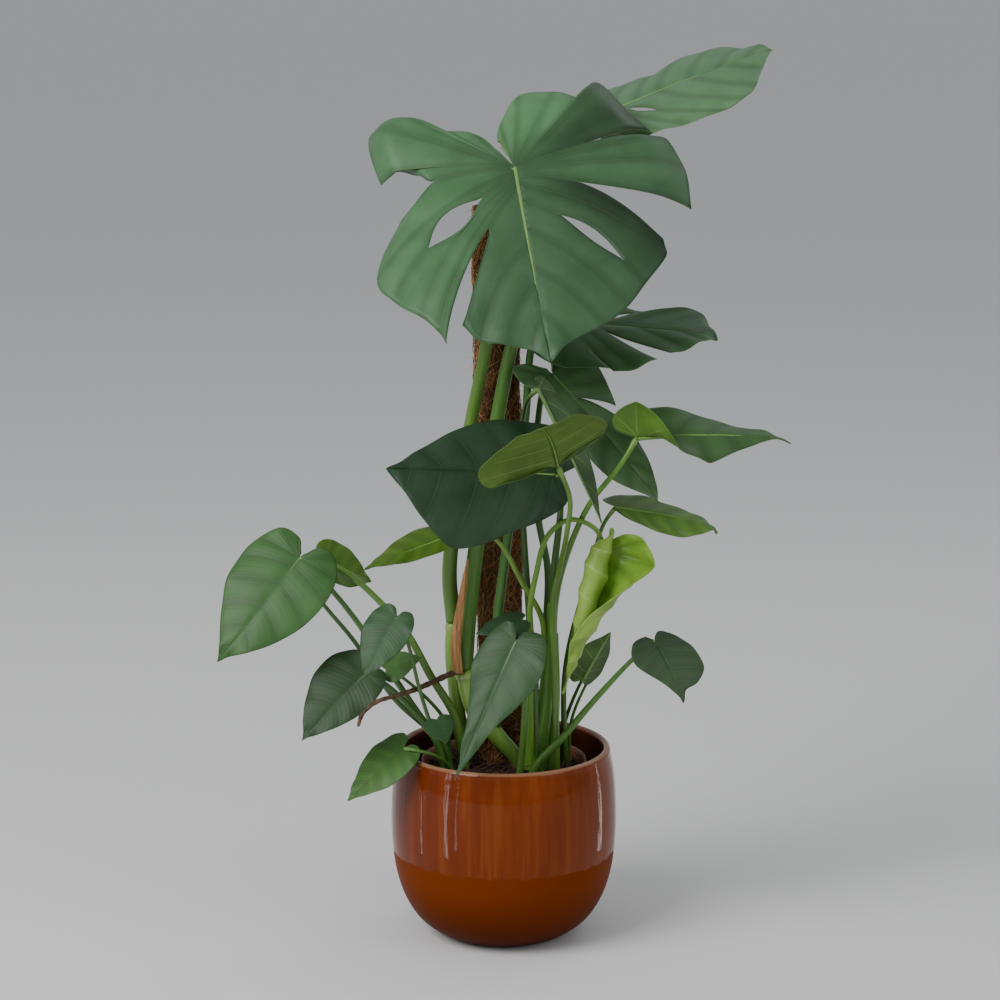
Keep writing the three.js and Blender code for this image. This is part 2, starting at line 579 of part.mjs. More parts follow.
// The veins of one half blade in order, with a gap after each lobe and round each window.
function halfBlade(leaf, side, rib, feet) {
  const lobes = (side > 0 ? leaf.left : leaf.right) || [{ edge: HEART }];
  const stations = lobes.reduce((count, lobe) => count + lobe.edge.length, 0) - 1;
  const rows = veinRows(leaf);
  const veins = [];
  let passed = 0;
  lobes.forEach((lobe) => {
    const { edge } = lobe;
    const places = new Set(edge.map((_, n) => n));
    feet.forEach((foot) => {
      for (let n = 0; n < edge.length - 1; n += 1) {
        if (foot > edge[n][0] && foot < edge[n + 1][0]) {
          places.add(n + (foot - edge[n][0]) / (edge[n + 1][0] - edge[n][0]));
        }
      }
    });
    const ordered = [...places].sort((a, b) => a - b);
    ordered.forEach((place, n) => {
      const whole = Math.min(Math.floor(place), edge.length - 2);
      const [, along, across] = through(edge, place);
      const foot = edge[whole][0] + (edge[whole + 1][0] - edge[whole][0]) * (place - whole);
      const matched = feet.find((value) => Math.abs(value - foot) < 1e-6) ?? foot;
      const points = vein(leaf, side, rib, [matched, along, across], (passed + place) / stations);
      const { window } = lobe;
      if (window && place === window.station) {
        const before = points.map((p) => p.clone());
        const next = vein(leaf, side, rib, through(edge, place + 0.5), (passed + place) / stations);
        points.forEach((point, i) => {
          const open = Math.sin(Math.PI * Math.min(Math.max((rows[i] - window.from)
            / (window.to - window.from), 0), 1));
          const sideways = next[i].clone().sub(point);
          if (open > 0.01) sideways.normalize().multiplyScalar(open * window.width / 2);
          else sideways.set(0, 0, 0);
          before[i].sub(sideways);
          point.add(sideways);
        });
        veins.push({ points: before, foot: matched, slit: false, hole: true });
      }
      const slit = n === ordered.length - 1 && lobe.cut !== undefined;
      veins.push({ points, foot: matched, slit, cut: lobe.cut, gape: lobe.gape || 0, hole: false });
    });
    passed += edge.length;
  });
  veins.forEach((one, n) => {
    if (!one.slit) return;
    const other = veins[n + 1];
    one.points.forEach((point, i) => {
      const middle = point.clone().add(other.points[i]).multiplyScalar(0.5);
      const opened = Math.min(Math.max((rows[i] - one.cut) / (1 - one.cut), 0), 1);
      const apart = Math.sqrt(smooth(opened));
      const aside = other.points[i].clone().sub(point).normalize()
        .multiplyScalar(Math.sin(Math.PI * opened) ** 0.5 * one.gape / 2);
      point.lerp(middle, 1 - apart).sub(aside);
      other.points[i].lerp(middle, 1 - apart).add(aside);
    });
  });
  return veins;
}

// The blade's middle surface as merged points and triangles, facing up. keel is how much deeper than the
// rest of the blade each point's underside lies: only points on the midrib have any, less towards the tip.
function bladeSurface(leaf, rib) {
  const halves = [leaf.left || [{ edge: HEART }], leaf.right || [{ edge: HEART }]];
  const feet = [...new Set(halves.flat().flatMap((lobe) => lobe.edge.map((station) => station[0])))];
  const points = [];
  const triangles = [];
  const keel = [];
  const known = new Map();
  const indexOf = (point) => {
    const key = point.toArray().map((value) => Math.round(value * 100)).join();
    if (!known.has(key)) known.set(key, points.push(point) - 1);
    return known.get(key);
  };
  [1, -1].forEach((side) => {
    const veins = halfBlade(leaf, side, rib, feet);
    if (leaf.length >= LONG_BLADE) {
      veins.forEach((one) => {
        keel[indexOf(one.points[0])] = leaf.radius[1] * (1.1 - one.foot);
      });
    }
    for (let n = 0; n < veins.length - 1; n += 1) {
      if (!veins[n].slit && !veins[n].hole) {
        for (let i = 0; i < veins[n].points.length - 1; i += 1) {
          const [a, b] = [indexOf(veins[n].points[i]), indexOf(veins[n].points[i + 1])];
          const [c, d] = [indexOf(veins[n + 1].points[i]), indexOf(veins[n + 1].points[i + 1])];
          const faces = side > 0 ? [[a, b, d], [a, d, c]] : [[a, d, b], [a, c, d]];
          triangles.push(...faces.filter(([p, q, r]) => p !== q && q !== r && p !== r));
        }
      }
    }
  });
  return { points, triangles, keel };
}

// A surface given its thickness, alike on both faces, with a wall along every open edge.
function thicken(points, triangles, thickness, keel = []) {
  const normals = points.map(() => vec(0, 0, 0));
  const open = new Map();
  triangles.forEach((face) => {
    const [p, q, r] = face.map((n) => points[n]);
    const normal = q.clone().sub(p).cross(r.clone().sub(p));
    face.forEach((n, k) => {
      normals[n].add(normal);
      const next = face[(k + 1) % 3];
      if (!open.delete(`${next},${n}`)) open.set(`${n},${next}`, [n, next]);
    });
  });
  const shift = (n, amount) => points[n].clone().addScaledVector(normals[n].clone().normalize(), amount);
  const count = points.length;
  const all = [
    ...points.map((_, n) => shift(n, thickness / 2)),
    ...points.map((_, n) => shift(n, -thickness / 2 - (keel[n] || 0))),
  ];
  const faces = triangles.flatMap(([a, b, c]) => [[a, b, c], [a + count, c + count, b + count]]);
  open.forEach(([a, b]) => faces.push([b, a, a + count], [b, a + count, b + count]));
  return solidOf(geometryFrom(all, faces));
}

// A stalk, swollen where it meets the blade.
function stalkSolid(leaf, extra) {
  const [foot, top] = leaf.radius;
  const sides = foot < THICK_STALK ? 5 : 6;
  const radiusAt = (t) => (foot + (top - foot) * t) * (t < 1 ? 1 : SWELLING) + extra;
  return sweep(leaf.stalk, radiusAt, sides, leaf.stalk.length);
}

function leafSolid(leaf) {
  const { points, triangles, keel } = bladeSurface(leaf, midrib(leaf));
  return fuse([thicken(points, triangles, BLADE_THICKNESS, keel), stalkSolid(leaf, 0)]);
}

// A closed turned profile.
function turned(profile, sides) {
  const closed = [...profile, profile[0]].map(([radius, height]) => new THREE.Vector2(radius, height));
  const geometry = new THREE.LatheGeometry(closed, sides);
  geometry.rotateX(Math.PI / 2);
  const solid = solidOf(geometry);
  if (solid.volume() > 0) return solid;
  const corners = geometry.index.array;
  for (let i = 0; i < corners.length; i += 3) {
    [corners[i + 1], corners[i + 2]] = [corners[i + 2], corners[i + 1]];
  }
  return solidOf(geometry);
}

// The glazed pot: a round belly drawn in to a small foot, straight-sided above, with a rolled rim.
function potOutline(inset) {
  const belly = POT_BELLY_RADIUS - inset;
  const rows = [
    [POT_FOOT_RADIUS, 0], [74, 6], [92, 20], [106, 42], [114.5, 68], [119, 100], [POT_BELLY_RADIUS, 132],
    [117.6, 172],
  ];
  return rows.map(([radius, height]) => [radius * belly / POT_BELLY_RADIUS, height]);
}

function glazedPot() {
  const outside = potOutline(0);
  const inside = potOutline(POT_WALL).slice(3);
  const rim = [
    [POT_RIM_RADIUS, 200], [POT_RIM_RADIUS - 2.5, POT_HEIGHT], [POT_RIM_RADIUS - 5.5, POT_HEIGHT],
    [POT_RIM_RADIUS - 8, 200],
  ];
  const floor = [[82, POT_FLOOR * 2], [66, POT_FLOOR], [0, POT_FLOOR]];
  return turned([[0, 0], ...outside, ...rim, ...inside.reverse(), ...floor], POT_SIDES);
}

// The nursery pot stands on the glazed pot's floor: thin plastic, tapered, with a turned-out rim.
function nurseryPot() {
  const foot = POT_FLOOR + GAP;
  const wall = NURSERY_WALL;
  return turned([
    [0, foot], [NURSERY_FOOT_RADIUS, foot], [NURSERY_RIM_RADIUS - 4, NURSERY_TOP - 12],
    [NURSERY_RIM_RADIUS, NURSERY_TOP - 12], [NURSERY_RIM_RADIUS, NURSERY_TOP],
    [NURSERY_RIM_RADIUS - wall, NURSERY_TOP], [NURSERY_RIM_RADIUS - 4 - wall, NURSERY_TOP - 14],
    [NURSERY_FOOT_RADIUS - wall, foot + wall], [0, foot + wall],
  ], NURSERY_SIDES);
}

// Potting soil: fills the nursery pot up to a crumbly top with low humps.
function soilMass() {
  const sides = SOIL_SIDES;
  const bottom = POT_FLOOR + NURSERY_WALL + GAP * 2;
  const flare = (NURSERY_RIM_RADIUS - 4 - NURSERY_FOOT_RADIUS) / (NURSERY_TOP - POT_FLOOR - 14);
  const wallAt = (height) => NURSERY_FOOT_RADIUS - NURSERY_WALL - GAP * 1.5 + flare * (height - POT_FLOOR);
  const edge = NURSERY_TOP - 16;
  const rings = [[wallAt(bottom) - 1, bottom], [wallAt(edge) - 0.5, edge], [62, 0], [34, 0]];
  const points = [vec(0, 0, bottom)];
  rings.forEach(([radius, height]) => {
    for (let k = 0; k < sides; k += 1) {
      const angle = (k / sides) * 2 * Math.PI;
      const [x, y] = [radius * Math.cos(angle), radius * Math.sin(angle)];
      const hump = SOIL_TOP + SOIL_RELIEF * Math.sin(x * 0.11 + 1) * Math.cos(y * 0.13);
      points.push(vec(x, y, height || hump));
    }
  });
  const top = points.push(vec(0, 0, SOIL_TOP)) - 1;
  const triangles = [];
  for (let k = 0; k < sides; k += 1) {
    const next = (k + 1) % sides;
    triangles.push([0, 1 + next, 1 + k]);
    for (let i = 0; i < rings.length - 1; i += 1) {
      const [a, b] = [1 + i * sides + k, 1 + i * sides + next];
      triangles.push([a, b, b + sides], [a, b + sides, a + sides]);
    }
    const lastRing = 1 + (rings.length - 1) * sides;
    triangles.push([top, lastRing + k, lastRing + next]);
  }
  return solidOf(geometryFrom(points, triangles));
}

// Coir fibre bound round a stake: a round sleeve with a lumpy surface.
function poleAxis(height) {
  const t = (height - SOIL_TOP) / (POLE_TOP - SOIL_TOP);
  return [0, 1].map((n) => POLE_FOOT[n] + (POLE_HEAD[n] - POLE_FOOT[n]) * t);
}

function coirSleeve(extra) {
  const rows = 10;
  const low = SOIL_TOP - POLE_BURIED;
  const inner = STAKE_RADIUS + GAP;
  const ring = (height, radiusAt) => {
    const [cx, cy] = poleAxis(height);
    return Array.from({ length: POLE_SIDES }, (_, k) => {
      const angle = (k / POLE_SIDES) * 2 * Math.PI;
      const radius = radiusAt(angle);
      return vec(cx + radius * Math.cos(angle), cy + radius * Math.sin(angle), height);
    });
  };
  const points = [];
  for (let i = 0; i <= rows; i += 1) {
    const height = low + (POLE_TOP - low) * (i / rows);
    const end = i === rows ? 2 : 0;
    points.push(...ring(height, (angle) => POLE_RADIUS + extra - end
      + 0.8 * Math.sin(3 * angle + height * 0.05) + 0.5 * Math.sin(5 * angle - height * 0.11)));
  }
  points.push(...ring(POLE_TOP, () => inner), ...ring(low, () => inner));
  const loops = rows + 3;
  const triangles = [];
  for (let i = 0; i < loops; i += 1) {
    for (let k = 0; k < POLE_SIDES; k += 1) {
      const next = (k + 1) % POLE_SIDES;
      const upper = ((i + 1) % loops) * POLE_SIDES;
      const lower = i * POLE_SIDES;
      triangles.push([lower + k, lower + next, upper + next], [lower + k, upper + next, upper + k]);
    }
  }
  return solidOf(geometryFrom(points, triangles));
}

function stake(extra) {
  const low = POT_FLOOR + 22;
  const high = POLE_TOP - 3;
  const heights = [low - extra, (low + high) / 2, high];
  return sweep(heights.map((height) => [...poleAxis(height), height]), () => STAKE_RADIUS + extra, 12, 1);
}

// The two climbing stems: pale internodes that end in a ring where the first long leaf stalk begins.
const STEM_ONE = [[20, -6, 164], [14, -8, 190], [-6, -11, 216], [-29, -14, 246], [-41, -15, 291]];
const STEM_TWO = [[-38, 4, 160], [-44, 3, 205], [-51, 2, 264], [-54, 2, 302], [-53, 2, 338]];
const stemOne = (extra) => sweep(STEM_ONE, (t) => 7.5 + 3.5 * smooth(t * 1.2) + extra, 8, 8);
const stemTwo = (extra) => sweep(STEM_TWO, (t) => 7 + 1.4 * t + extra, 8, 6);

// An aerial root that leaves the lower node and ends in a hook.
const ROOT = [[-46, -24, 292], [-60, -34, 289], [-77, -50, 285], [-95, -72, 283], [-111, -92, 283],
  [-131, -106, 280], [-145, -111, 268], [-149, -112, 256]];
const aerialRoot = (extra) => sweep(ROOT, (t) => 3.4 - 1.2 * t + extra, 6, 10);

// A dry papery sheath: a narrow strip that stands up from the lower node and widens at its foot.
function drySheath() {
  const centre = [[-48, -29, 290], [-50, -30, 322], [-46, -33, 358], [-41, -32, 390], [-37, -31, 414]];
  const half = [5.5, 5.5, 4, 2.5, 0.8];
  const bulge = [0, -1.5, 0];
  const row = ([x, y, z], n) => bulge.map((dy, k) => vec(x + (k - 1) * half[n], y + dy, z));
  const points = centre.flatMap(row);
  const triangles = [];
  for (let n = 0; n < centre.length - 1; n += 1) {
    for (let k = 0; k < 2; k += 1) {
      const a = n * 3 + k;
      triangles.push([a, a + 1, a + 4], [a, a + 4, a + 3]);
    }
  }
  return thicken(points, triangles, BLADE_THICKNESS);
}

// The crown on the right: the broad sheathing bases of several stalks, grown together.
const SHEATHS = [
  { path: [[32, -22, 160], [36, -22, 200], [44, -24, 262], [49, -27, 325], [51, -30, 366]], radius: [15, 5] },
  { path: [[26, -14, 160], [28, -14, 200], [31, -16, 262], [31, -20, 320]], radius: [9, 5] },
  { path: [[46, -12, 160], [50, -14, 200], [54, -16, 262], [53, -18, 330]], radius: [9, 4.5] },
];
const crown = (extra) => fuse(SHEATHS.map(({ path, radius }) => sweep(path,
  (t) => radius[0] + (radius[1] - radius[0]) * Math.sqrt(t) + extra, 8, 6)));

const plant = new THREE.Group();

function addPiece(name, solid, colour, roughness) {
  const material = new THREE.MeshStandardMaterial({ color: colour, roughness, metalness: 0 });
  const mesh = new THREE.Mesh(geometryOf(solid), material);
  mesh.name = name;
  plant.add(mesh);
}

// Every growing piece keeps clear of those before it, and the soil has a hole for each.
const clearances = [coirSleeve(GAP)];
function addGrowing(name, solid, clearance, colour) {
  addPiece(name, cutClear(solid, clearances), colour, 0.5);
  clearances.push(clearance);
}

addPiece('glazed_pot', glazedPot(), 0xa8550f, 0.12);
addPiece('nursery_pot', nurseryPot(), 0x7a4630, 0.6);
addPiece('pole_stake', stake(0), 0xa98256, 0.8);
addPiece('coir_pole', coirSleeve(0), 0x6b4026, 0.95);
addGrowing('stem_lower', stemOne(0), stemOne(GAP), 0x8fb35a);
addGrowing('stem_upper', stemTwo(0), stemTwo(GAP), 0x8fb35a);
addGrowing('crown_sheaths', crown(0), crown(GAP), 0x5c8a3c);
addGrowing('aerial_root', aerialRoot(0), aerialRoot(GAP), 0x4a3323);
LEAVES.forEach((leaf) => addGrowing(leaf.name, leafSolid(leaf), stalkSolid(leaf, GAP), leaf.colour));
addPiece('dry_sheath', cutClear(drySheath(), clearances), 0xa06a3c, 0.9);
addPiece('soil', cutClear(soilMass(), [...clearances, stake(GAP)]), 0x2c221c, 1);

export default plant;
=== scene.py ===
import math

import bpy
import numpy as np
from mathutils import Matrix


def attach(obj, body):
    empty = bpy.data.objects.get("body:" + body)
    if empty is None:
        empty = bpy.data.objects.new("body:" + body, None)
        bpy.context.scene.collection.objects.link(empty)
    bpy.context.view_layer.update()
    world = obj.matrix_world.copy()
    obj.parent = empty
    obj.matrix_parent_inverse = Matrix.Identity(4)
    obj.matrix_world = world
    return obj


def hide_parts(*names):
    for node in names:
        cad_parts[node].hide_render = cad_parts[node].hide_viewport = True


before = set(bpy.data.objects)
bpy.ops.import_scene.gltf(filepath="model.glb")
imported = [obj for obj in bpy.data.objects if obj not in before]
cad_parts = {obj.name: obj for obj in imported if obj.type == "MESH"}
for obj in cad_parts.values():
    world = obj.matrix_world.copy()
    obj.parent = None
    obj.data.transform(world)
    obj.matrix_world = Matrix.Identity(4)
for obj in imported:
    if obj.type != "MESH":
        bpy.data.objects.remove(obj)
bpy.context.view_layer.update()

bl_info = {
    "name": "Swiss cheese plant in a glazed pot",
    "version": (1, 0, 0),
    "blender": (4, 5, 0),
    "location": "3D View > Sidebar > Plant",
    "description": "Builds a swiss cheese plant on a coir pole in a glazed pot round its fixed frame",
    "category": "Add Mesh",
}

MM = 0.001
RIB_PLACES = 101  # places along a midrib where its direction is worked out
VEIN_COLUMNS = 8  # columns of points from one vein to the next
HAIR_SIDES = 3
NO_VEIN = dict(vein_mm=9, fine_mm=9, vein_strength=0)  # far from any vein
DIP_LINE = 93.5  # height in millimetres where the thick glaze ends
SOIL_RADIUS = 82.0  # of the compost that shows, in millimetres
SOIL_FLOOR = 166.0  # its underside
COIR_FOOT = 168.0  # where the coir begins, under the compost

# The outlines of the half blades: [foot of the vein on the midrib, how far along the blade the vein ends, how
# far across]. Along is in blade lengths from the stalk, across in half widths.
HEART = [
    [0, -0.04, 0.03], [0, -0.14, 0.24], [0, -0.14, 0.6], [0, 0, 0.9], [0.08, 0.2, 1.0],
    [0.25, 0.42, 0.92], [0.46, 0.62, 0.69], [0.67, 0.8, 0.38], [0.85, 0.91, 0.13], [1, 1, 0],
]
OVAL = [
    [0, -0.02, 0.03], [0, -0.07, 0.24], [0, -0.05, 0.56], [0, 0.09, 0.86], [0.1, 0.3, 1.0],
    [0.28, 0.5, 0.97], [0.48, 0.68, 0.76], [0.69, 0.83, 0.42], [0.86, 0.93, 0.14], [1, 1, 0],
]
BROAD = [
    [0, -0.02, 0.03], [0, -0.06, 0.22], [0, -0.04, 0.44], [0.02, 0.1, 0.66], [0.1, 0.28, 0.84],
    [0.26, 0.47, 1.04], [0.46, 0.65, 1.06], [0.68, 0.8, 0.68], [0.86, 0.9, 0.32], [1, 1, 0],
]
TAILED = [
    [0, -0.03, 0.05], [0, -0.1, 0.3], [0, -0.08, 0.7], [0, 0.06, 0.94], [0.08, 0.22, 0.98],
    [0.24, 0.4, 0.76], [0.44, 0.57, 0.46], [0.66, 0.75, 0.24], [0.84, 0.88, 0.1], [1, 1, 0],
]
NOTCHED = [
    [0, -0.04, 0.03], [0, -0.1, 0.2], [0, -0.06, 0.44], [0, 0.08, 0.68], [0.08, 0.26, 0.92],
    [0.25, 0.46, 1.04], [0.46, 0.66, 0.96], [0.66, 0.8, 0.6], [0.82, 0.84, 0.2], [1, 1, 0],
]
HOOD = [
    [0, -0.04, 0.03], [0, -0.14, 0.24], [0, -0.14, 0.5], [0, 0, 0.78], [0.06, 0.17, 0.84],
    [0.2, 0.32, 0.74], [0.4, 0.47, 0.6], [0.6, 0.64, 0.34], [0.82, 0.82, 0.12], [1, 1, 0],
]
BELLIED = [
    [0, -0.02, 0.02], [0, -0.02, 0.1], [0, 0.04, 0.22], [0, 0.14, 0.36], [0.1, 0.33, 0.56],
    [0.28, 0.52, 0.68], [0.48, 0.7, 0.64], [0.69, 0.84, 0.42], [0.86, 0.94, 0.18], [1, 1, 0],
]
SMALL = [
    [0, -0.05, 0.05], [0, -0.14, 0.4], [0, 0.02, 0.9], [0.12, 0.26, 1.0], [0.4, 0.56, 0.74],
    [0.72, 0.84, 0.28], [1, 1, 0],
]


def widened(edge, factor):
    return [[foot, along, across * factor] for foot, along, across in edge]


# The halves of the split blades, as lobes: (outline, slit after it, window). A slit is (where it begins, how
# many millimetres more it gapes half way). A window is (station of its vein, where it begins, where it ends,
# its width in millimetres).
CROWN_LEFT = [
    ([[0, -0.09, 0.03], [0, -0.14, -0.01], [0, -0.16, -0.07], [0, -0.25, -0.04], [0, -0.4, 0.1],
      [0, -0.46, 0.34], [0, -0.42, 0.52], [0, -0.51, 0.66], [0, -0.24, 0.95]], (0.45, 0), None),
    ([[0, -0.18, 0.85], [0.01, -0.15, 0.99], [0.02, 0.0, 1.07], [0.04, 0.25, 1.05]], (0.34, 0), None),
    ([[0.04, 0.42, 0.82], [0.1, 0.5, 0.83], [0.18, 0.65, 0.66], [0.34, 0.76, 0.53], [0.54, 0.84, 0.36],
      [0.76, 0.91, 0.14], [1, 1, 0]], None, (2, 0.3, 0.8, 13)),
]
CROWN_RIGHT = [
    ([[0, -0.05, 0.05], [0, -0.13, 0.12], [0, -0.24, 0.25], [0, -0.32, 0.48], [0, -0.44, 0.75],
      [0, -0.38, 0.92], [0, -0.09, 0.9], [0, -0.14, 0.78], [0, -0.08, 0.6]], (0.72, 0), None),
    ([[0, 0.16, 0.74], [0.03, 0.46, 0.92], [0.06, 0.6, 0.84], [0.08, 0.69, 0.7], [0.1, 0.78, 0.61],
      [0.1, 0.86, 0.56]], (0.4, 24), (2, 0.25, 0.66, 24)),
    ([[0.1, 0.77, 0.46], [0.42, 0.85, 0.38], [0.62, 0.89, 0.23], [0.8, 0.93, 0.09], [1, 1, 0]], None, None),
]
SAIL_LEFT = [
    ([[0, -0.02, 0.1], [0, -0.06, 0.4], [0, -0.02, 0.68], [0, 0.08, 0.79], [0.08, 0.22, 0.81],
      [0.22, 0.36, 0.82], [0.34, 0.52, 0.88], [0.52, 0.71, 0.84], [0.7, 0.86, 0.56], [0.86, 0.96, 0.26],
      [1, 1, 0]], None, None),
]
SAIL_RIGHT = [
    ([[0, -0.02, 0.08], [0, -0.06, 0.4], [0, 0.0, 0.7], [0, 0.11, 0.86], [0.04, 0.28, 1.0],
      [0.08, 0.43, 1.08], [0.12, 0.62, 1.06], [0.34, 0.75, 1.02], [0.54, 0.84, 0.76], [0.74, 0.91, 0.34],
      [1, 1, 0]], None, (6, 0.12, 0.45, 9)),
]
RAIL_LEFT = [
    ([[0, -0.05, 0.04], [0, -0.2, 0.3], [0, -0.2, 0.7], [0, 0.04, 0.9], [0.1, 0.32, 0.76],
      [0.2, 0.54, 0.58], [0.42, 0.8, 0.76], [0.62, 0.9, 0.64], [0.84, 0.95, 0.24], [1, 1, 0]],
     None, (5, 0.12, 0.8, 15)),
]
RAIL_RIGHT = [
    ([[0, -0.05, 0.04], [0, -0.18, 0.3], [0, -0.14, 0.7], [0, 0.06, 1.02], [0.06, 0.34, 1.06]],
     (0.6, 0), None),
    ([[0.06, 0.36, 1.1], [0.14, 0.5, 1.02], [0.22, 0.62, 0.8]], (0.2, 0), None),
    ([[0.22, 0.7, 0.6], [0.5, 0.82, 0.42], [0.76, 0.91, 0.2], [1, 1, 0]], None, None),
]
FLAG_LEFT = [
    ([[0, -0.05, 0.04], [0, -0.16, 0.3], [0, -0.14, 0.6], [0.04, 0.06, 0.72], [0.1, 0.22, 0.64],
      [0.18, 0.38, 0.5]], (0.12, 0), None),
    ([[0.18, 0.5, 0.45], [0.42, 0.66, 0.4], [0.68, 0.83, 0.24], [0.86, 0.93, 0.1], [1, 1, 0]], None, None),
]
FLAG_RIGHT = [
    ([[0, -0.05, 0.04], [0, -0.14, 0.24], [0, -0.18, 0.5], [0, -0.08, 0.62], [0.08, 0.06, 0.42]],
     (0.5, 0), None),
    ([[0.08, 0.2, 0.4], [0.28, 0.42, 0.54], [0.5, 0.65, 0.54], [0.72, 0.82, 0.28], [1, 1, 0]], None, None),
]
UNDER_LEFT = [
    ([[0, 0.04, 0.06], [0, 0.12, 0.24], [0, 0.2, 0.5], [0, 0.28, 0.74], [0.12, 0.4, 0.82],
      [0.3, 0.56, 0.76], [0.5, 0.76, 0.56], [0.7, 0.92, 0.34], [0.86, 1.0, 0.12], [1, 1, 0]], None, None),
]
UNDER_RIGHT = [
    ([[0, 0.02, 0.12], [0, 0.06, 0.4], [0, 0.08, 0.8], [0, 0.1, 1.08], [0.1, 0.3, 1.2],
      [0.28, 0.6, 1.08], [0.48, 0.8, 0.74], [0.68, 0.94, 0.42], [0.86, 1.02, 0.16], [1, 1, 0]], None, None),
]


def whole(edge):
    return [(edge, None, None)]


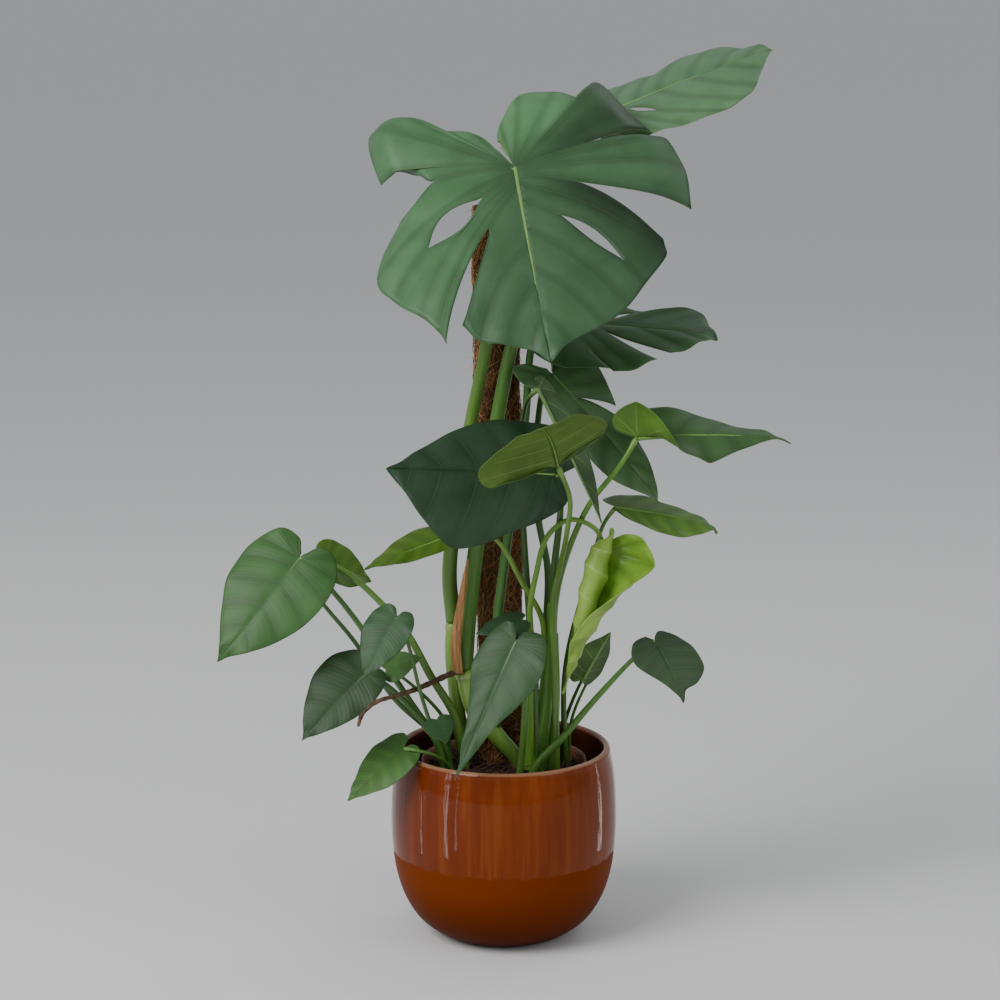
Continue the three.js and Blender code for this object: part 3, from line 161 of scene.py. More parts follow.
# The leaves, with the same measures as their solids. upper, under and stalk_hex are the colours of the
# blade's two faces and of the stalk. A leaf's list of painted light and shade makes the outer part of a half
# lighter where light falls on it and darker where shade lies, from the stalk end to the tip. quilt is how
# strongly the blade rises between its veins, and rib thins the midrib. hook, curl and sway are 0 where they
# are left out.
LEAVES = [
    dict(name="leaf_crown", upper="3f5f3f", under="6f8c4c", stalk_hex="587c2f",
         stalk=[[-53, 2, 339], [-57, 0, 385], [-54, -4, 430], [-34, -12, 554], [-17, -16, 640],
                [-4, -10, 730], [8, 6, 800], [11, -6, 817]], radius=[8.2, 5], aim=[-79, -46], roll=-8,
         length=234, width=340, droop=8, hook=6, sway=2, fold=[[4, 4, 4, 4], [12, 6, 4, 4]], arch=22,
         crest=[0.7, 0.16], curl=[[0, 10, 30, 10, 0, 0], [0, 40, 52, 44, 5, 0, 0, 0, 0]],
         # Painted light and shade: the lobes lighter where light falls on them and darker where they lie in
         # shade.
         painted_light=[[1.4, 1.8, 2.1, 1.8, 0.55, 1, 1.2, 0.25, 0.9, 1, 1.1],
               [1.2, 1.4, 1.5, 1.5, 1.3, 1.5, 1.6, 1.3, 1, 1, 1]], left=CROWN_LEFT, right=CROWN_RIGHT),
    dict(name="leaf_sail", upper="587c57", under="6f8f50", stalk_hex="50792e",
         stalk=[[-42, -15, 292], [-38, -15, 344], [-29, -15, 419], [-7, -17, 557], [8, -15, 635],
                [34, 12, 730], [71, 84, 813], [103, 154, 858]], radius=[9.5, 4.5], aim=[-2, 24], roll=-18,
         length=196, width=180, droop=6, hook=6, fold=2, arch=16, left=SAIL_LEFT, right=SAIL_RIGHT),
    dict(name="leaf_rail", upper="3f613a", under="6f8f50", stalk_hex="3f6a2a",
         stalk=[[-10, -12, 216], [-8, -16, 262], [-8, -19, 324], [3, -20, 426], [22, -16, 557],
                [29, -8, 634], [42, 4, 662], [58, 8, 654]], radius=[6, 3.6], aim=[-4, -1], roll=-16,
         length=165, width=160, droop=6, hook=25, fold=0, arch=[[4, 4], [20, 10]], left=RAIL_LEFT,
         right=RAIL_RIGHT),
    dict(name="leaf_flag", upper="52724a", under="6c8c44", stalk_hex="3c6428",
         stalk=[[44, 0, 160], [43, -2, 220], [44, -3, 320], [46, -4, 396], [36, -2, 452], [34, -2, 534],
                [42, -4, 592], [51, -20, 605]], radius=[4.5, 3], aim=[-24, -44], roll=-34, length=172,
         width=124, droop=8, hook=10, fold=6, arch=6, curl=[[-130, -70, 0, 0, 0], [0, 0, 0, 0, 0]],
         left=FLAG_LEFT, right=FLAG_RIGHT),
    dict(name="leaf_slip", upper="3f5534", under="3f5736", stalk_hex="35561f",
         stalk=[[30, -16, 296], [27, -20, 345], [20, -26, 453], [17, -38, 530], [19, -52, 563],
                [25, -82, 591], [35, -92, 603]], radius=[4, 2.2], aim=[-18, -62], roll=60, length=150,
         width=34, droop=4, fold=62, arch=14, left=whole(OVAL), right=whole(OVAL)),
    dict(name="leaf_shade", upper="28402a", under="5f7a3c", stalk_hex="3c6024",
         stalk=[[49, -24, 316], [52, -36, 401], [58, -64, 478], [53, -86, 513]], radius=[4.5, 3],
         aim=[-166, 6], roll=58, length=175, width=152, droop=6, hook=6, fold=4, arch=14, left=whole(BROAD),
         right=whole(widened(HEART, 0.78))),
    dict(name="leaf_underside", rib=0.4, upper="44662f", under="587528", stalk_hex="5f8430",
         stalk=[[56, -36, 160], [54, -38, 260], [51, -42, 372], [57, -56, 407], [64, -98, 457],
                [66, -114, 495], [54, -118, 528]], radius=[4, 2.4], aim=[-112, 64], roll=-25, length=96,
         width=140, droop=60, sway=-16, fold=[[10, 10], [-20, -8]], arch=16, left=UNDER_LEFT,
         right=UNDER_RIGHT),
    dict(name="leaf_twist", upper="3f6034", under="577c28", stalk_hex="5d8a2c",
         stalk=[[53, -17, 296], [53, -18, 355], [61, -30, 403], [87, -68, 478], [118, -86, 523],
                [135, -82, 551]], radius=[4, 2.4], aim=[4, 4], roll=-16, length=160, width=100, droop=12,
         hook=24, fold=[[34, 20, -2, -10], [90, 105, 100, 10, -40, -40, 0]], arch=12, left=whole(HEART),
         right=whole(HOOD)),
    dict(name="leaf_blade", upper="5c8038", under="4c7024", stalk_hex="4c742a",
         stalk=[[68, 4, 160], [64, 2, 226], [64, 0, 275], [70, -6, 320], [90, -16, 398], [103, -26, 448],
                [116, -31, 469]], radius=[3.4, 2], aim=[-14, -4], roll=6, length=112, width=70, droop=10,
         hook=40, fold=[[24, 20, 10], [-44, -50, -30]], arch=10, left=whole(HEART), right=whole(BELLIED)),
    dict(name="leaf_scroll", quilt=1.8, upper="86b040", under="92b24c", stalk_hex="6c9430",
         stalk=[[30, -26, 182], [32, -36, 283], [27, -47, 362], [33, -54, 401], [45, -60, 444],
                [68, -64, 462], [94, -64, 452], [103, -62, 430]], radius=[3.8, 2.4], aim=[-152, -72], roll=55,
         length=156, width=150, droop=4, fold=[[-20, -10, 0], [0, 0]],
         arch=[[-60, -90, -240, -300], [-330, -320]], left=whole(HEART), right=whole(HEART)),
    dict(name="leaf_disc", upper="3f5639", under="6c8c44", stalk_hex="4f7a2e",
         stalk=[[24, -46, 162], [34, -50, 195], [63, -52, 229], [90, -54, 263], [133, -60, 313],
                [156, -61, 334]], radius=[5, 2], aim=[-42, -54], roll=-24, length=72, width=76, droop=6,
         hook=30, fold=4, arch=14, left=whole(NOTCHED), right=whole(widened(TAILED, 0.86))),
    dict(name="leaf_cup", upper="20361d", under="42602c", stalk_hex="35591f",
         stalk=[[62, 14, 160], [64, 10, 220], [79, -8, 270], [84, -18, 282]], radius=[2.6, 1.6],
         aim=[-15, 62], roll=50, length=60, width=46, droop=4, fold=24, arch=10, left=whole(SMALL),
         right=whole(SMALL)),
    dict(name="leaf_spear", upper="7a9c3c", under="86a848", stalk_hex="567c2a",
         stalk=[[70, 16, 160], [72, 14, 226], [90, 4, 275], [93, 0, 282]], radius=[2.2, 1.4], aim=[-20, 62],
         roll=30, length=34, width=12, droop=4, fold=50, arch=20, left=whole(SMALL), right=whole(SMALL)),
    dict(name="leaf_front", quilt=0.4, upper="385533", under="6c8c44", stalk_hex="567c34",
         stalk=[[14, -44, 162], [20, -48, 221], [22, -60, 279], [19, -78, 323], [12, -88, 340]],
         radius=[4, 2.6], aim=[-137, -56], roll=24, length=156, width=84, droop=4, fold=12, arch=24,
         left=whole(TAILED), right=whole(widened(TAILED, 0.8))),
    dict(name="leaf_tuck", upper="2f4a30", under="5c7c3c", stalk_hex="3c5f28",
         stalk=[[36, -42, 162], [34, -44, 237], [30, -48, 312], [18, -44, 352]], radius=[3, 2],
         aim=[-165, -10], roll=20, length=50, width=46, droop=10, fold=0, arch=20, left=whole(SMALL),
         right=whole(SMALL)),
    dict(name="leaf_lantern", upper="426836", under="6c8c44", stalk_hex="4a7430",
         stalk=[[-54, -24, 160], [-62, -26, 208], [-88, -32, 245], [-121, -40, 299], [-154, -45, 352],
                [-182, -46, 388], [-210, -58, 421]], radius=[4.2, 2.4], aim=[-137, -44], roll=34, length=138,
         width=112, droop=14, hook=10, sway=-12, fold=6, arch=22, left=whole(widened(HEART, 0.9)),
         right=whole(HEART)),
    dict(name="leaf_wing", upper="668d36", under="6a8c34", stalk_hex="5f8434",
         stalk=[[-38, -12, 160], [-44, -12, 205], [-52, -16, 241], [-77, -26, 287], [-100, -30, 332],
                [-126, -30, 364], [-160, -26, 395], [-188, -20, 410]], radius=[5.5, 2.6], aim=[30, -26],
         roll=-50, length=66, width=54, droop=6, hook=10, fold=14, arch=10, left=whole(HEART),
         right=whole(HEART)),
    dict(name="leaf_shy", upper="456a30", under="67873a", stalk_hex="4a702c",
         stalk=[[-54, 6, 162], [-62, 4, 200], [-115, -10, 257], [-159, -12, 323], [-182, -14, 352],
                [-213, -26, 394]], radius=[3.4, 2], aim=[-150, -40], roll=34, length=92, width=84, droop=10,
         fold=4, arch=16, left=whole(HEART), right=whole(HEART)),
    dict(name="leaf_mitten", upper="335632", under="668638", stalk_hex="446c2c",
         stalk=[[-60, -46, 162], [-65, -50, 212], [-72, -56, 230], [-87, -72, 284], [-98, -85, 335],
                [-110, -90, 365]], radius=[2.6, 1.7], aim=[-134, -48], roll=24, length=72, width=56, droop=8,
         fold=8, arch=20, left=whole(widened(HEART, 0.84)), right=whole(HEART)),
    dict(name="leaf_shield", upper="304b2a", under="628238", stalk_hex="41682a",
         stalk=[[-60, -34, 162], [-65, -38, 200], [-77, -46, 232], [-120, -62, 285], [-143, -68, 300]],
         radius=[4.2, 2.4], aim=[-150, -38], roll=40, length=96, width=84, droop=6, hook=10, fold=10, arch=20,
         left=whole(widened(HEART, 0.68)), right=whole(HEART)),
    dict(name="leaf_coin", upper="568040", under="6a8c3c", stalk_hex="456c2c",
         stalk=[[-58, -8, 162], [-59, -12, 222], [-66, -20, 243], [-104, -46, 289], [-121, -54, 301]],
         radius=[2.4, 1.6], aim=[-12, 24], roll=-40, length=40, width=38, droop=6, fold=4, arch=14,
         left=whole(SMALL), right=whole(SMALL)),
    dict(name="leaf_bud", upper="33542f", under="5f803c", stalk_hex="3f6628",
         stalk=[[-50, -50, 162], [-55, -57, 200], [-64, -80, 238], [-69, -94, 258]], radius=[1.8, 1.3],
         aim=[-50, -50], roll=-20, length=27, width=34, droop=6, fold=6, arch=10, left=whole(SMALL),
         right=whole(SMALL)),
    dict(name="leaf_rim", upper="4a7232", under="6a8c3c", stalk_hex="54802f",
         stalk=[[-48, -40, 160], [-52, -46, 188], [-72, -60, 210], [-92, -68, 218], [-105, -58, 217]],
         radius=[2.2, 1.6], aim=[-158, -36], roll=26, length=80, width=56, droop=8, fold=6, arch=16,
         left=whole(HEART), right=whole(HEART)),
    dict(name="leaf_lime", upper="547228", under="688a34", stalk_hex="6a9030",
         stalk=[[41, -28, 292], [40, -32, 348], [18, -36, 391], [-4, -42, 432], [-28, -44, 451],
                [-54, -38, 441]], radius=[3.4, 2], aim=[-155, -14], roll=10, length=102, width=46, droop=4,
         fold=[[-30, -30], [24, 24]], arch=10, left=whole(widened(HEART, 0.66)), right=whole(HEART)),
]
LIME_LEAVES = ("leaf_scroll", "leaf_spear", "leaf_lime")

# Pots, pole, stems and root, with the same measures as their solids
SOIL_TOP = 181.0
POLE_FOOT = np.array([-2.0, 26.0])
POLE_HEAD = np.array([-9.0, 26.0])
POLE_TOP = 775.0
POLE_RADIUS = 24.5
STEM_LOWER = [[20, -6, 164], [14, -8, 190], [-6, -11, 216], [-29, -14, 246], [-41, -15, 291]]
STEM_UPPER = [[-38, 4, 160], [-44, 3, 205], [-51, 2, 264], [-54, 2, 302], [-53, 2, 338]]
SHEATHS = [
    ([[32, -22, 160], [36, -22, 200], [44, -24, 262], [49, -27, 325], [51, -30, 366]], 15, 5),
    ([[26, -14, 160], [28, -14, 200], [31, -16, 262], [31, -20, 320]], 9, 5),
    ([[46, -12, 160], [50, -14, 200], [54, -16, 262], [53, -18, 330]], 9, 4.5),
]
ROOT = [[-46, -24, 292], [-60, -34, 289], [-77, -50, 285], [-95, -72, 283], [-111, -92, 283],
        [-131, -106, 280], [-145, -111, 268], [-149, -112, 256]]
DRY_SHEATH = [[-48, -29, 290], [-50, -30, 322], [-46, -33, 358], [-41, -32, 390], [-37, -31, 414]]


# Materials

def linear(hex_colour):
    """sRGB hex to a linear colour."""
    channels = [int(hex_colour[i:i + 2], 16) / 255 for i in (0, 2, 4)]
    return [c / 12.92 if c <= 0.04045 else ((c + 0.055) / 1.055) ** 2.4 for c in channels] + [1.0]


def add_node(tree, kind, inputs=None, **settings):
    """Adds a node. inputs sets each named or numbered socket to a value, or links it to another socket."""
    node = tree.nodes.new(kind)
    for key, value in settings.items():
        setattr(node, key, value)
    for key, value in (inputs or {}).items():
        if isinstance(value, bpy.types.NodeSocket):
            tree.links.new(value, node.inputs[key])
        else:
            node.inputs[key].default_value = value
    return node


def new_material(name, **sockets):
    """A material with one Principled shader whose sockets are set straight away."""
    material = bpy.data.materials.new(name)
    material.use_nodes = True
    tree = material.node_tree
    tree.nodes.clear()
    inputs = {key.replace("_", " "): value for key, value in sockets.items()}
    shader = add_node(tree, "ShaderNodeBsdfPrincipled", inputs)
    add_node(tree, "ShaderNodeOutputMaterial", {"Surface": shader.outputs["BSDF"]})
    return material, tree, shader


def noise(tree, scale, detail=3.0, roughness=0.5, stretch=(1, 1, 1)):
    """Noise on Object coordinates, in waves a metre, stretched along the axes."""
    coordinates = add_node(tree, "ShaderNodeTexCoord").outputs["Object"]
    vector = add_node(tree, "ShaderNodeMapping", {"Vector": coordinates, "Scale": stretch}).outputs["Vector"]
    inputs = {"Vector": vector, "Scale": scale, "Detail": detail, "Roughness": roughness}
    return add_node(tree, "ShaderNodeTexNoise", inputs).outputs["Fac"]


def ramp(tree, factor, low, high, start=0.0, end=1.0):
    """A factor spread from low..high to start..end and held there."""
    inputs = {"Value": factor, "From Min": low, "From Max": high, "To Min": start, "To Max": end}
    return add_node(tree, "ShaderNodeMapRange", inputs).outputs["Result"]


def mixed(tree, factor, first, second, blend_type="MIX"):
    """Two colours mixed by a factor. The sockets go by number, because a Mix node repeats their names."""
    inputs = {0: factor, 6: first, 7: second}
    return add_node(tree, "ShaderNodeMix", inputs, data_type="RGBA", blend_type=blend_type).outputs[2]


def math_node(tree, operation, first, second):
    return add_node(tree, "ShaderNodeMath", {0: first, 1: second}, operation=operation).outputs[0]


def attribute(tree, name, output="Fac"):
    return add_node(tree, "ShaderNodeAttribute", attribute_name=name).outputs[output]


def bumped(tree, socket, heights):
    """Links a normal socket to bumps laid over each other: (height, strength, distance in metres)."""
    inputs = {}
    for height, strength, distance in heights:
        inputs.update({"Height": height, "Strength": strength, "Distance": distance})
        inputs["Normal"] = add_node(tree, "ShaderNodeBump", inputs).outputs["Normal"]
    tree.links.new(inputs["Normal"], socket)


def two_tone_material(name, dark, light, pattern, spread=None, bump=None, **sockets):
    """A material whose colour runs from dark to light as its pattern, made by a function of the node tree,
    runs over the spread. bump is the pattern's own strength and distance."""
    material, tree, shader = new_material(name, **sockets)
    factor = pattern(tree)
    share = ramp(tree, factor, *spread) if spread else factor
    base = mixed(tree, share, linear(dark), linear(light))
    tree.links.new(base, shader.inputs["Base Color"])
    if bump:
        bumped(tree, shader.inputs["Normal"], [(factor, *bump)])
    return material


def veined(tree, tint, vein_hex, mottle, shadow_hex, pale, painted_furrow_shade, fine_line, main_line):
    """The colour of a blade's face: mottled tissue, painted shade in a darker band along each main vein, and
    pale lines on the fine and the main veins. A line is (full within, gone beyond, strength), its distances
    in millimetres."""
    vein, fine, fade = (attribute(tree, key) for key in ("vein_mm", "fine_mm", "vein_strength"))
    patches = mixed(tree, ramp(tree, mottle, 0.35, 0.7), linear(shadow_hex), linear("ffffff"))
    base = mixed(tree, 1.0, tint, patches, "MULTIPLY")
    # Painted shade: a dark green band along each main vein, as if in the shadow of its furrow.
    base = mixed(tree, ramp(tree, vein, 0.4, 9.0, painted_furrow_shade, 0.0), base, linear("16240f"))
    lit = mixed(tree, pale, tint, linear(vein_hex))
    for distance, (near, far, strength) in ((fine, fine_line), (vein, main_line)):
        line = math_node(tree, "MULTIPLY", ramp(tree, distance, near, far, strength, 0.0), fade)
        base = mixed(tree, line, base, lit)
    return base


def leaf_upper_material(name, vein_hex, roughness):
    """The upper face of a Monstera blade: a waxy cuticle over deep green tissue. It has a broad soft
    sheen, and thin pale veins lie in shallow furrows, with painted shade along them."""
    material, tree, shader = new_material(name, Roughness=roughness, IOR=1.32)
    mottle = noise(tree, 28, 4)
    base = veined(tree, attribute(tree, "tint", "Color"), vein_hex, mottle, "dfe6dc", pale=0.4, painted_furrow_shade=0.3,
                  fine_line=(0.1, 0.5, 0.02), main_line=(0.15, 0.8, 0.12))
    tree.links.new(base, shader.inputs["Base Color"])
    sheen = ramp(tree, mottle, 0.3, 0.75, roughness - 0.05, roughness + 0.05)
    tree.links.new(sheen, shader.inputs["Roughness"])
    quilts = ramp(tree, attribute(tree, "fine_mm"), 0.0, 1.4)
    bumped(tree, shader.inputs["Normal"], [(quilts, 0.2, 0.0003), (noise(tree, 420, 2), 0.06, 0.0003)])
    return material


def leaf_under_material(name, vein_hex, roughness):
    """The underside of a blade: paler and duller, with the veins standing out."""
    material, tree, shader = new_material(name, Roughness=roughness, IOR=1.4)
    base = veined(tree, attribute(tree, "under_tint", "Color"), vein_hex, noise(tree, 34, 4), "cdd6c4",
                  pale=0.6, painted_furrow_shade=0.0, fine_line=(0.1, 0.55, 0.08), main_line=(0.25, 1.0, 0.3))
    tree.links.new(base, shader.inputs["Base Color"])
    ridges = ramp(tree, attribute(tree, "fine_mm"), 0.0, 1.0, 1.0, 0.0)
    bumped(tree, shader.inputs["Normal"], [(ridges, 0.3, 0.0004)])
    return material


def stalk_material():
    """A leaf stalk: smooth, waxy and juicy, with faint lengthwise streaks and pale flecks."""
    material, tree, shader = new_material("Monstera stalk, waxy", Roughness=0.34, IOR=1.45)
    streaks = noise(tree, 260, 3, 0.6, (1, 1, 0.08))
    flecks = noise(tree, 900, 1, 0.5, (1, 1, 0.4))
    tint = attribute(tree, "tint", "Color")
    base = mixed(tree, ramp(tree, streaks, 0.3, 0.7, 0.0, 0.35), tint, linear("2f4f1c"))
    base = mixed(tree, ramp(tree, flecks, 0.66, 0.74, 0.0, 0.12), base, linear("a9c47a"))
    tree.links.new(base, shader.inputs["Base Color"])
    bumped(tree, shader.inputs["Normal"], [(streaks, 0.12, 0.0006)])
    return material


def glaze_material(settings):
    """Amber stoneware glaze, dipped and fired: a glassy clear coat over a brown body. It is thick and glossy
    down to a dip line, where its runs end, and some of its runs are lightened with painted reflection. Below
    it the glaze is thin and dull, and painted shade darkens it towards the foot."""
    material, tree, shader = new_material("Amber stoneware glaze", Roughness=0.6, IOR=1.1,
                                          Coat_Roughness=0.035, Coat_IOR=1.26)
    coordinates = add_node(tree, "ShaderNodeTexCoord").outputs["Object"]
    height = add_node(tree, "ShaderNodeSeparateXYZ", {"Vector": coordinates}).outputs["Z"]
    runs = noise(tree, 95, 4, 0.55, (1, 1, 0.045))
    broad = noise(tree, 26, 3, 0.5, (1, 1, 0.12))
    specks = noise(tree, 700, 2, 0.6)
    drips = noise(tree, 75, 2, 0.5, (1, 1, 0))
    line = math_node(tree, "ADD", height, ramp(tree, drips, 0.3, 0.75, -0.0015, 0.0025))
    dipped = ramp(tree, line, DIP_LINE * MM, (DIP_LINE + 1.5) * MM)
    thick = mixed(tree, ramp(tree, broad, 0.3, 0.7), (*settings.glaze_deep, 1), (*settings.glaze, 1))
    thick = mixed(tree, ramp(tree, runs, 0.5, 0.66, 0.0, 0.4), thick, linear("4c1a02"))
    # Pale pinkish streaks on some runs: glaze runs, lightened with painted reflection.
    thick = mixed(tree, ramp(tree, runs, 0.47, 0.33, 0.0, 0.22), thick, linear("92501c"))
    # Painted shade: below the dip line the glaze grows darker towards the foot.
    thin = mixed(tree, ramp(tree, height, 0.075, 0.004), linear("6c2c00"), linear("451800"))
    base = mixed(tree, dipped, thin, thick)
    base = mixed(tree, ramp(tree, specks, 0.6, 0.75, 0.0, 0.3), base, linear("341003"))
    # Painted highlight: a pale band along the top of the rolled rim.
    base = mixed(tree, attribute(tree, "lip"), base, linear("9a7458"))
    # Painted shade: the inner wall of the pot in a darker, greyer brown.
    base = mixed(tree, attribute(tree, "inner_painted_shade"), base, linear("4e3020"))
    tree.links.new(base, shader.inputs["Base Color"])
    tree.links.new(ramp(tree, dipped, 0.0, 1.0, 0.12, 1.0), shader.inputs["Coat Weight"])
    bumped(tree, shader.inputs["Coat Normal"],
           [(broad, 0.25, 0.004), (runs, 0.16, 0.002), (dipped, 0.4, 0.0006)])
    return material


def bisque_material():
    """Unglazed fired clay on the foot ring."""
    return two_tone_material("Bisque clay", "8a6a50", "a98767", lambda tree: noise(tree, 300, 4),
                             Roughness=0.85)


def nursery_material():
    """Terracotta brown polypropylene, thermoformed: dull, with faint draw marks and dust."""
    material, tree, shader = new_material("Thermoformed brown polypropylene", Roughness=0.5)
    dust = ramp(tree, noise(tree, 60, 4), 0.4, 0.75)
    tree.links.new(mixed(tree, dust, linear("7a4230"), linear("9a5c44")), shader.inputs["Base Color"])
    bumped(tree, shader.inputs["Normal"], [(noise(tree, 300, 2, 0.5, (1, 1, 0.1)), 0.15, 0.0005)])
    return material


def wood_material():
    """A turned pine stake with its grain upright."""
    return two_tone_material("Turned pine", "a98256", "7d5a35",
                             lambda tree: noise(tree, 160, 4, 0.6, (1, 1, 0.05)), Roughness=0.65)


def fibre_material(name, dark, light):
    """Coconut husk fibre: stiff round hairs, each of its own brown, with a dry shine."""
    return two_tone_material(name, dark, light, lambda tree: attribute(tree, "shade"), Roughness=0.6)


def husk_material():
    """The felt of short husk fibre under the loose hairs: dark, crossed and matt."""
    def crossed(tree):
        return math_node(tree, "MULTIPLY", noise(tree, 900, 3, 0.7, (1, 1, 0.3)),
                         noise(tree, 700, 3, 0.7, (0.4, 0.4, 1)))

    return two_tone_material("Coir felt", "2e1a0d", "8a5a30", crossed, (0.15, 0.4), (0.9, 0.003),
                             Roughness=0.9)


def compost_material():
    """Peat and coir potting compost: damp dark crumbs."""
    material, tree, shader = new_material("Potting compost", Roughness=0.92)
    clumps = noise(tree, 220, 5, 0.7)
    base = mixed(tree, ramp(tree, clumps, 0.35, 0.7), linear("150d08"), linear("38241a"))
    base = mixed(tree, attribute(tree, "shade"), base, linear("4a3122"))
    tree.links.new(base, shader.inputs["Base Color"])
    bumped(tree, shader.inputs["Normal"], [(clumps, 0.8, 0.002)])
    return material


def root_material():
    """An aerial root: corky brown bark with darker rings and pale rubbed places."""
    return two_tone_material("Corky aerial root", "2c1f14", "6d5236",
                             lambda tree: noise(tree, 240, 3, 0.6, (1.6, 0.5, 0.5)),
                             (0.35, 0.7), (0.6, 0.001), Roughness=0.75)


def papery_material():
    """A dried leaf sheath: brittle, thin and fibrous, tan with brown streaks."""
    return two_tone_material("Dried sheath", "6b4220", "b98a55",
                             lambda tree: noise(tree, 420, 4, 0.65, (1, 1, 0.05)), (0.3, 0.7), (0.5, 0.001),
                             Roughness=0.7)


def floor_material(settings):
    """A matt painted studio floor."""
    return new_material("Matt studio floor", Roughness=0.9, Base_Color=(*settings.floor, 1))[0]


# Shapes

def smooth(x):
    t = np.clip(x, 0, 1)
    return t * t * (3 - 2 * t)


def unit(vectors):
    return vectors / np.maximum(np.linalg.norm(vectors, axis=-1, keepdims=True), 1e-12)


def build_object(name, points, parts, materials, values=None):
    """A mesh object from points in millimetres. parts lists (faces, material index); values holds one
    number or colour for each point under each attribute's name."""
    mesh = bpy.data.meshes.new(name)
    loops = np.concatenate([faces.ravel() for faces, _ in parts]).astype(np.int32)
    sizes = np.concatenate([np.full(len(faces), faces.shape[1]) for faces, _ in parts])
    slots = np.concatenate([np.full(len(faces), slot) for faces, slot in parts]).astype(np.int32)
    starts = np.concatenate([[0], np.cumsum(sizes)[:-1]]).astype(np.int32)
    mesh.vertices.add(len(points))
    mesh.vertices.foreach_set("co", (np.asarray(points) * MM).astype(np.float32).ravel())
    mesh.loops.add(len(loops))
    mesh.loops.foreach_set("vertex_index", loops)
    mesh.polygons.add(len(sizes))
    mesh.polygons.foreach_set("loop_start", starts)
    mesh.polygons.foreach_set("material_index", slots)
    mesh.polygons.foreach_set("use_smooth", np.ones(len(sizes), bool))
    for key, data in (values or {}).items():
        data = np.asarray(data, np.float32)
        colour = data.ndim == 2
        layer = mesh.attributes.new(key, "FLOAT_COLOR" if colour else "FLOAT", "POINT")
        layer.data.foreach_set("color" if colour else "value", data.ravel())
    for material in materials:
        mesh.materials.append(material)
    mesh.update(calc_edges=True)
    if mesh.validate():
        raise RuntimeError(f"{name} had faulty faces")
    piece = bpy.data.objects.new(name, mesh)
    bpy.context.scene.collection.objects.link(piece)
    return piece


def fitted(piece, node):
    """Ties a piece to the frame: it stands for the node, if there is one, and rides the body."""
    if node:
        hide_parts(node)
    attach(piece, "root")


def merged(bodies):
    """Bodies joined as one: each is (points, parts, values). Returns the same three."""
    points = np.concatenate([body[0] for body in bodies])
    offsets = np.cumsum([0] + [len(body[0]) for body in bodies[:-1]])
    parts = [(faces + offset, slot) for body, offset in zip(bodies, offsets) for faces, slot in body[1]]
    values = {key: np.concatenate([body[2][key] for body in bodies]) for key in bodies[0][2]}
    return points, parts, values


def curve_through(points, spacing):
    """Points evenly spaced along a centripetal Catmull-Rom curve: between two of its points it runs as a
    cubic whose knots are apart by the square root of the distances between them."""
    p = np.asarray(points, float)
    p = np.vstack([2 * p[0] - p[1], p, 2 * p[-1] - p[-2]])
    t = np.linspace(0, 1, 24, endpoint=False)[:, None]
    pieces = []
    for a, b, c, d in zip(p[:-3], p[1:-2], p[2:-1], p[3:]):
        ab, bc, cd = (max(np.linalg.norm(v) ** 0.5, 1e-4) for v in (b - a, c - b, d - c))
        first = ((b - a) / ab - (c - a) / (ab + bc) + (c - b) / bc) * bc
        last = ((c - b) / bc - (d - b) / (bc + cd) + (d - c) / cd) * bc
        pieces.append(b + first * t + (-3 * b + 3 * c - 2 * first - last) * t ** 2
                      + (2 * b - 2 * c + first + last) * t ** 3)
    dense = np.vstack(pieces + [p[-2:-1]])
    far = np.concatenate([[0], np.cumsum(np.linalg.norm(np.diff(dense, axis=0), axis=1))])
    count = max(int(far[-1] / spacing), 4)
    places = np.linspace(0, far[-1], count + 1)
    return np.stack([np.interp(places, far, dense[:, n]) for n in range(3)], axis=1)


def rounded(profile, spacing):
    """A flat profile smoothed by a curve through its points."""
    return curve_through(np.column_stack([profile, np.zeros(len(profile))]), spacing)[:, :2]


def ring_round(across, above, sides):
    """The unit circle spanned by two directions at each place."""
    angle = np.linspace(0, 2 * np.pi, sides, endpoint=False)[:, None]
    return across[..., None, :] * np.cos(angle) + above[..., None, :] * np.sin(angle)


def ring_faces(count, sides, flipped=False):
    """Parts of a closed skin over rings of points that climb and turn to the left, or to the right if it
    is flipped. Two more points after the rings are its poles."""
    grid = np.arange(count * sides).reshape(count, sides)
    beside = np.roll(grid, -1, axis=1)
    quads = np.stack([grid[:-1], beside[:-1], beside[1:], grid[1:]], axis=-1).reshape(-1, 4)
    first, last = np.full(sides, grid.size), np.full(sides, grid.size + 1)
    caps = np.vstack([np.stack([first, beside[0], grid[0]], axis=1),
                      np.stack([last, grid[-1], beside[-1]], axis=1)])
    return [(quads[:, [0, 3, 2, 1]], 0), (caps[:, [0, 2, 1]], 0)] if flipped else [(quads, 0), (caps, 0)]


def tube(path, radii, sides, reference=None):
    """A closed round tube: at each point of the path a circle of its radius, square to the path, and a
    pole at each end. The circles are turned alike by one reference direction."""
    path = np.asarray(path, float)
    tangent = unit(np.gradient(path, axis=0))
    if reference is None:
        reference = np.eye(3)[np.argmin(np.abs(tangent).max(axis=0))]
    across = unit(np.cross(tangent, reference))
    radii = np.asarray(radii, float).reshape(len(path), -1, 1)
    points = path[:, None] + ring_round(across, np.cross(across, tangent), sides) * radii
    return np.vstack([points.reshape(-1, 3), path[[0, -1]]]), ring_faces(len(path), sides, flipped=True)


def turned(profile, sides):
    """A profile of radius and height carried round the Z axis; its points on the axis become poles."""
    radius, height = profile[1:-1, :1], profile[1:-1, 1:]
    angle = np.linspace(0, 2 * np.pi, sides, endpoint=False)
    height = np.repeat(height, sides, axis=1)
    points = np.stack([radius * np.cos(angle), radius * np.sin(angle), height], axis=-1)
    poles = np.array([[0, 0, profile[0, 1]], [0, 0, profile[-1, 1]]])
    return np.vstack([points.reshape(-1, 3), poles]), ring_faces(len(radius), sides)


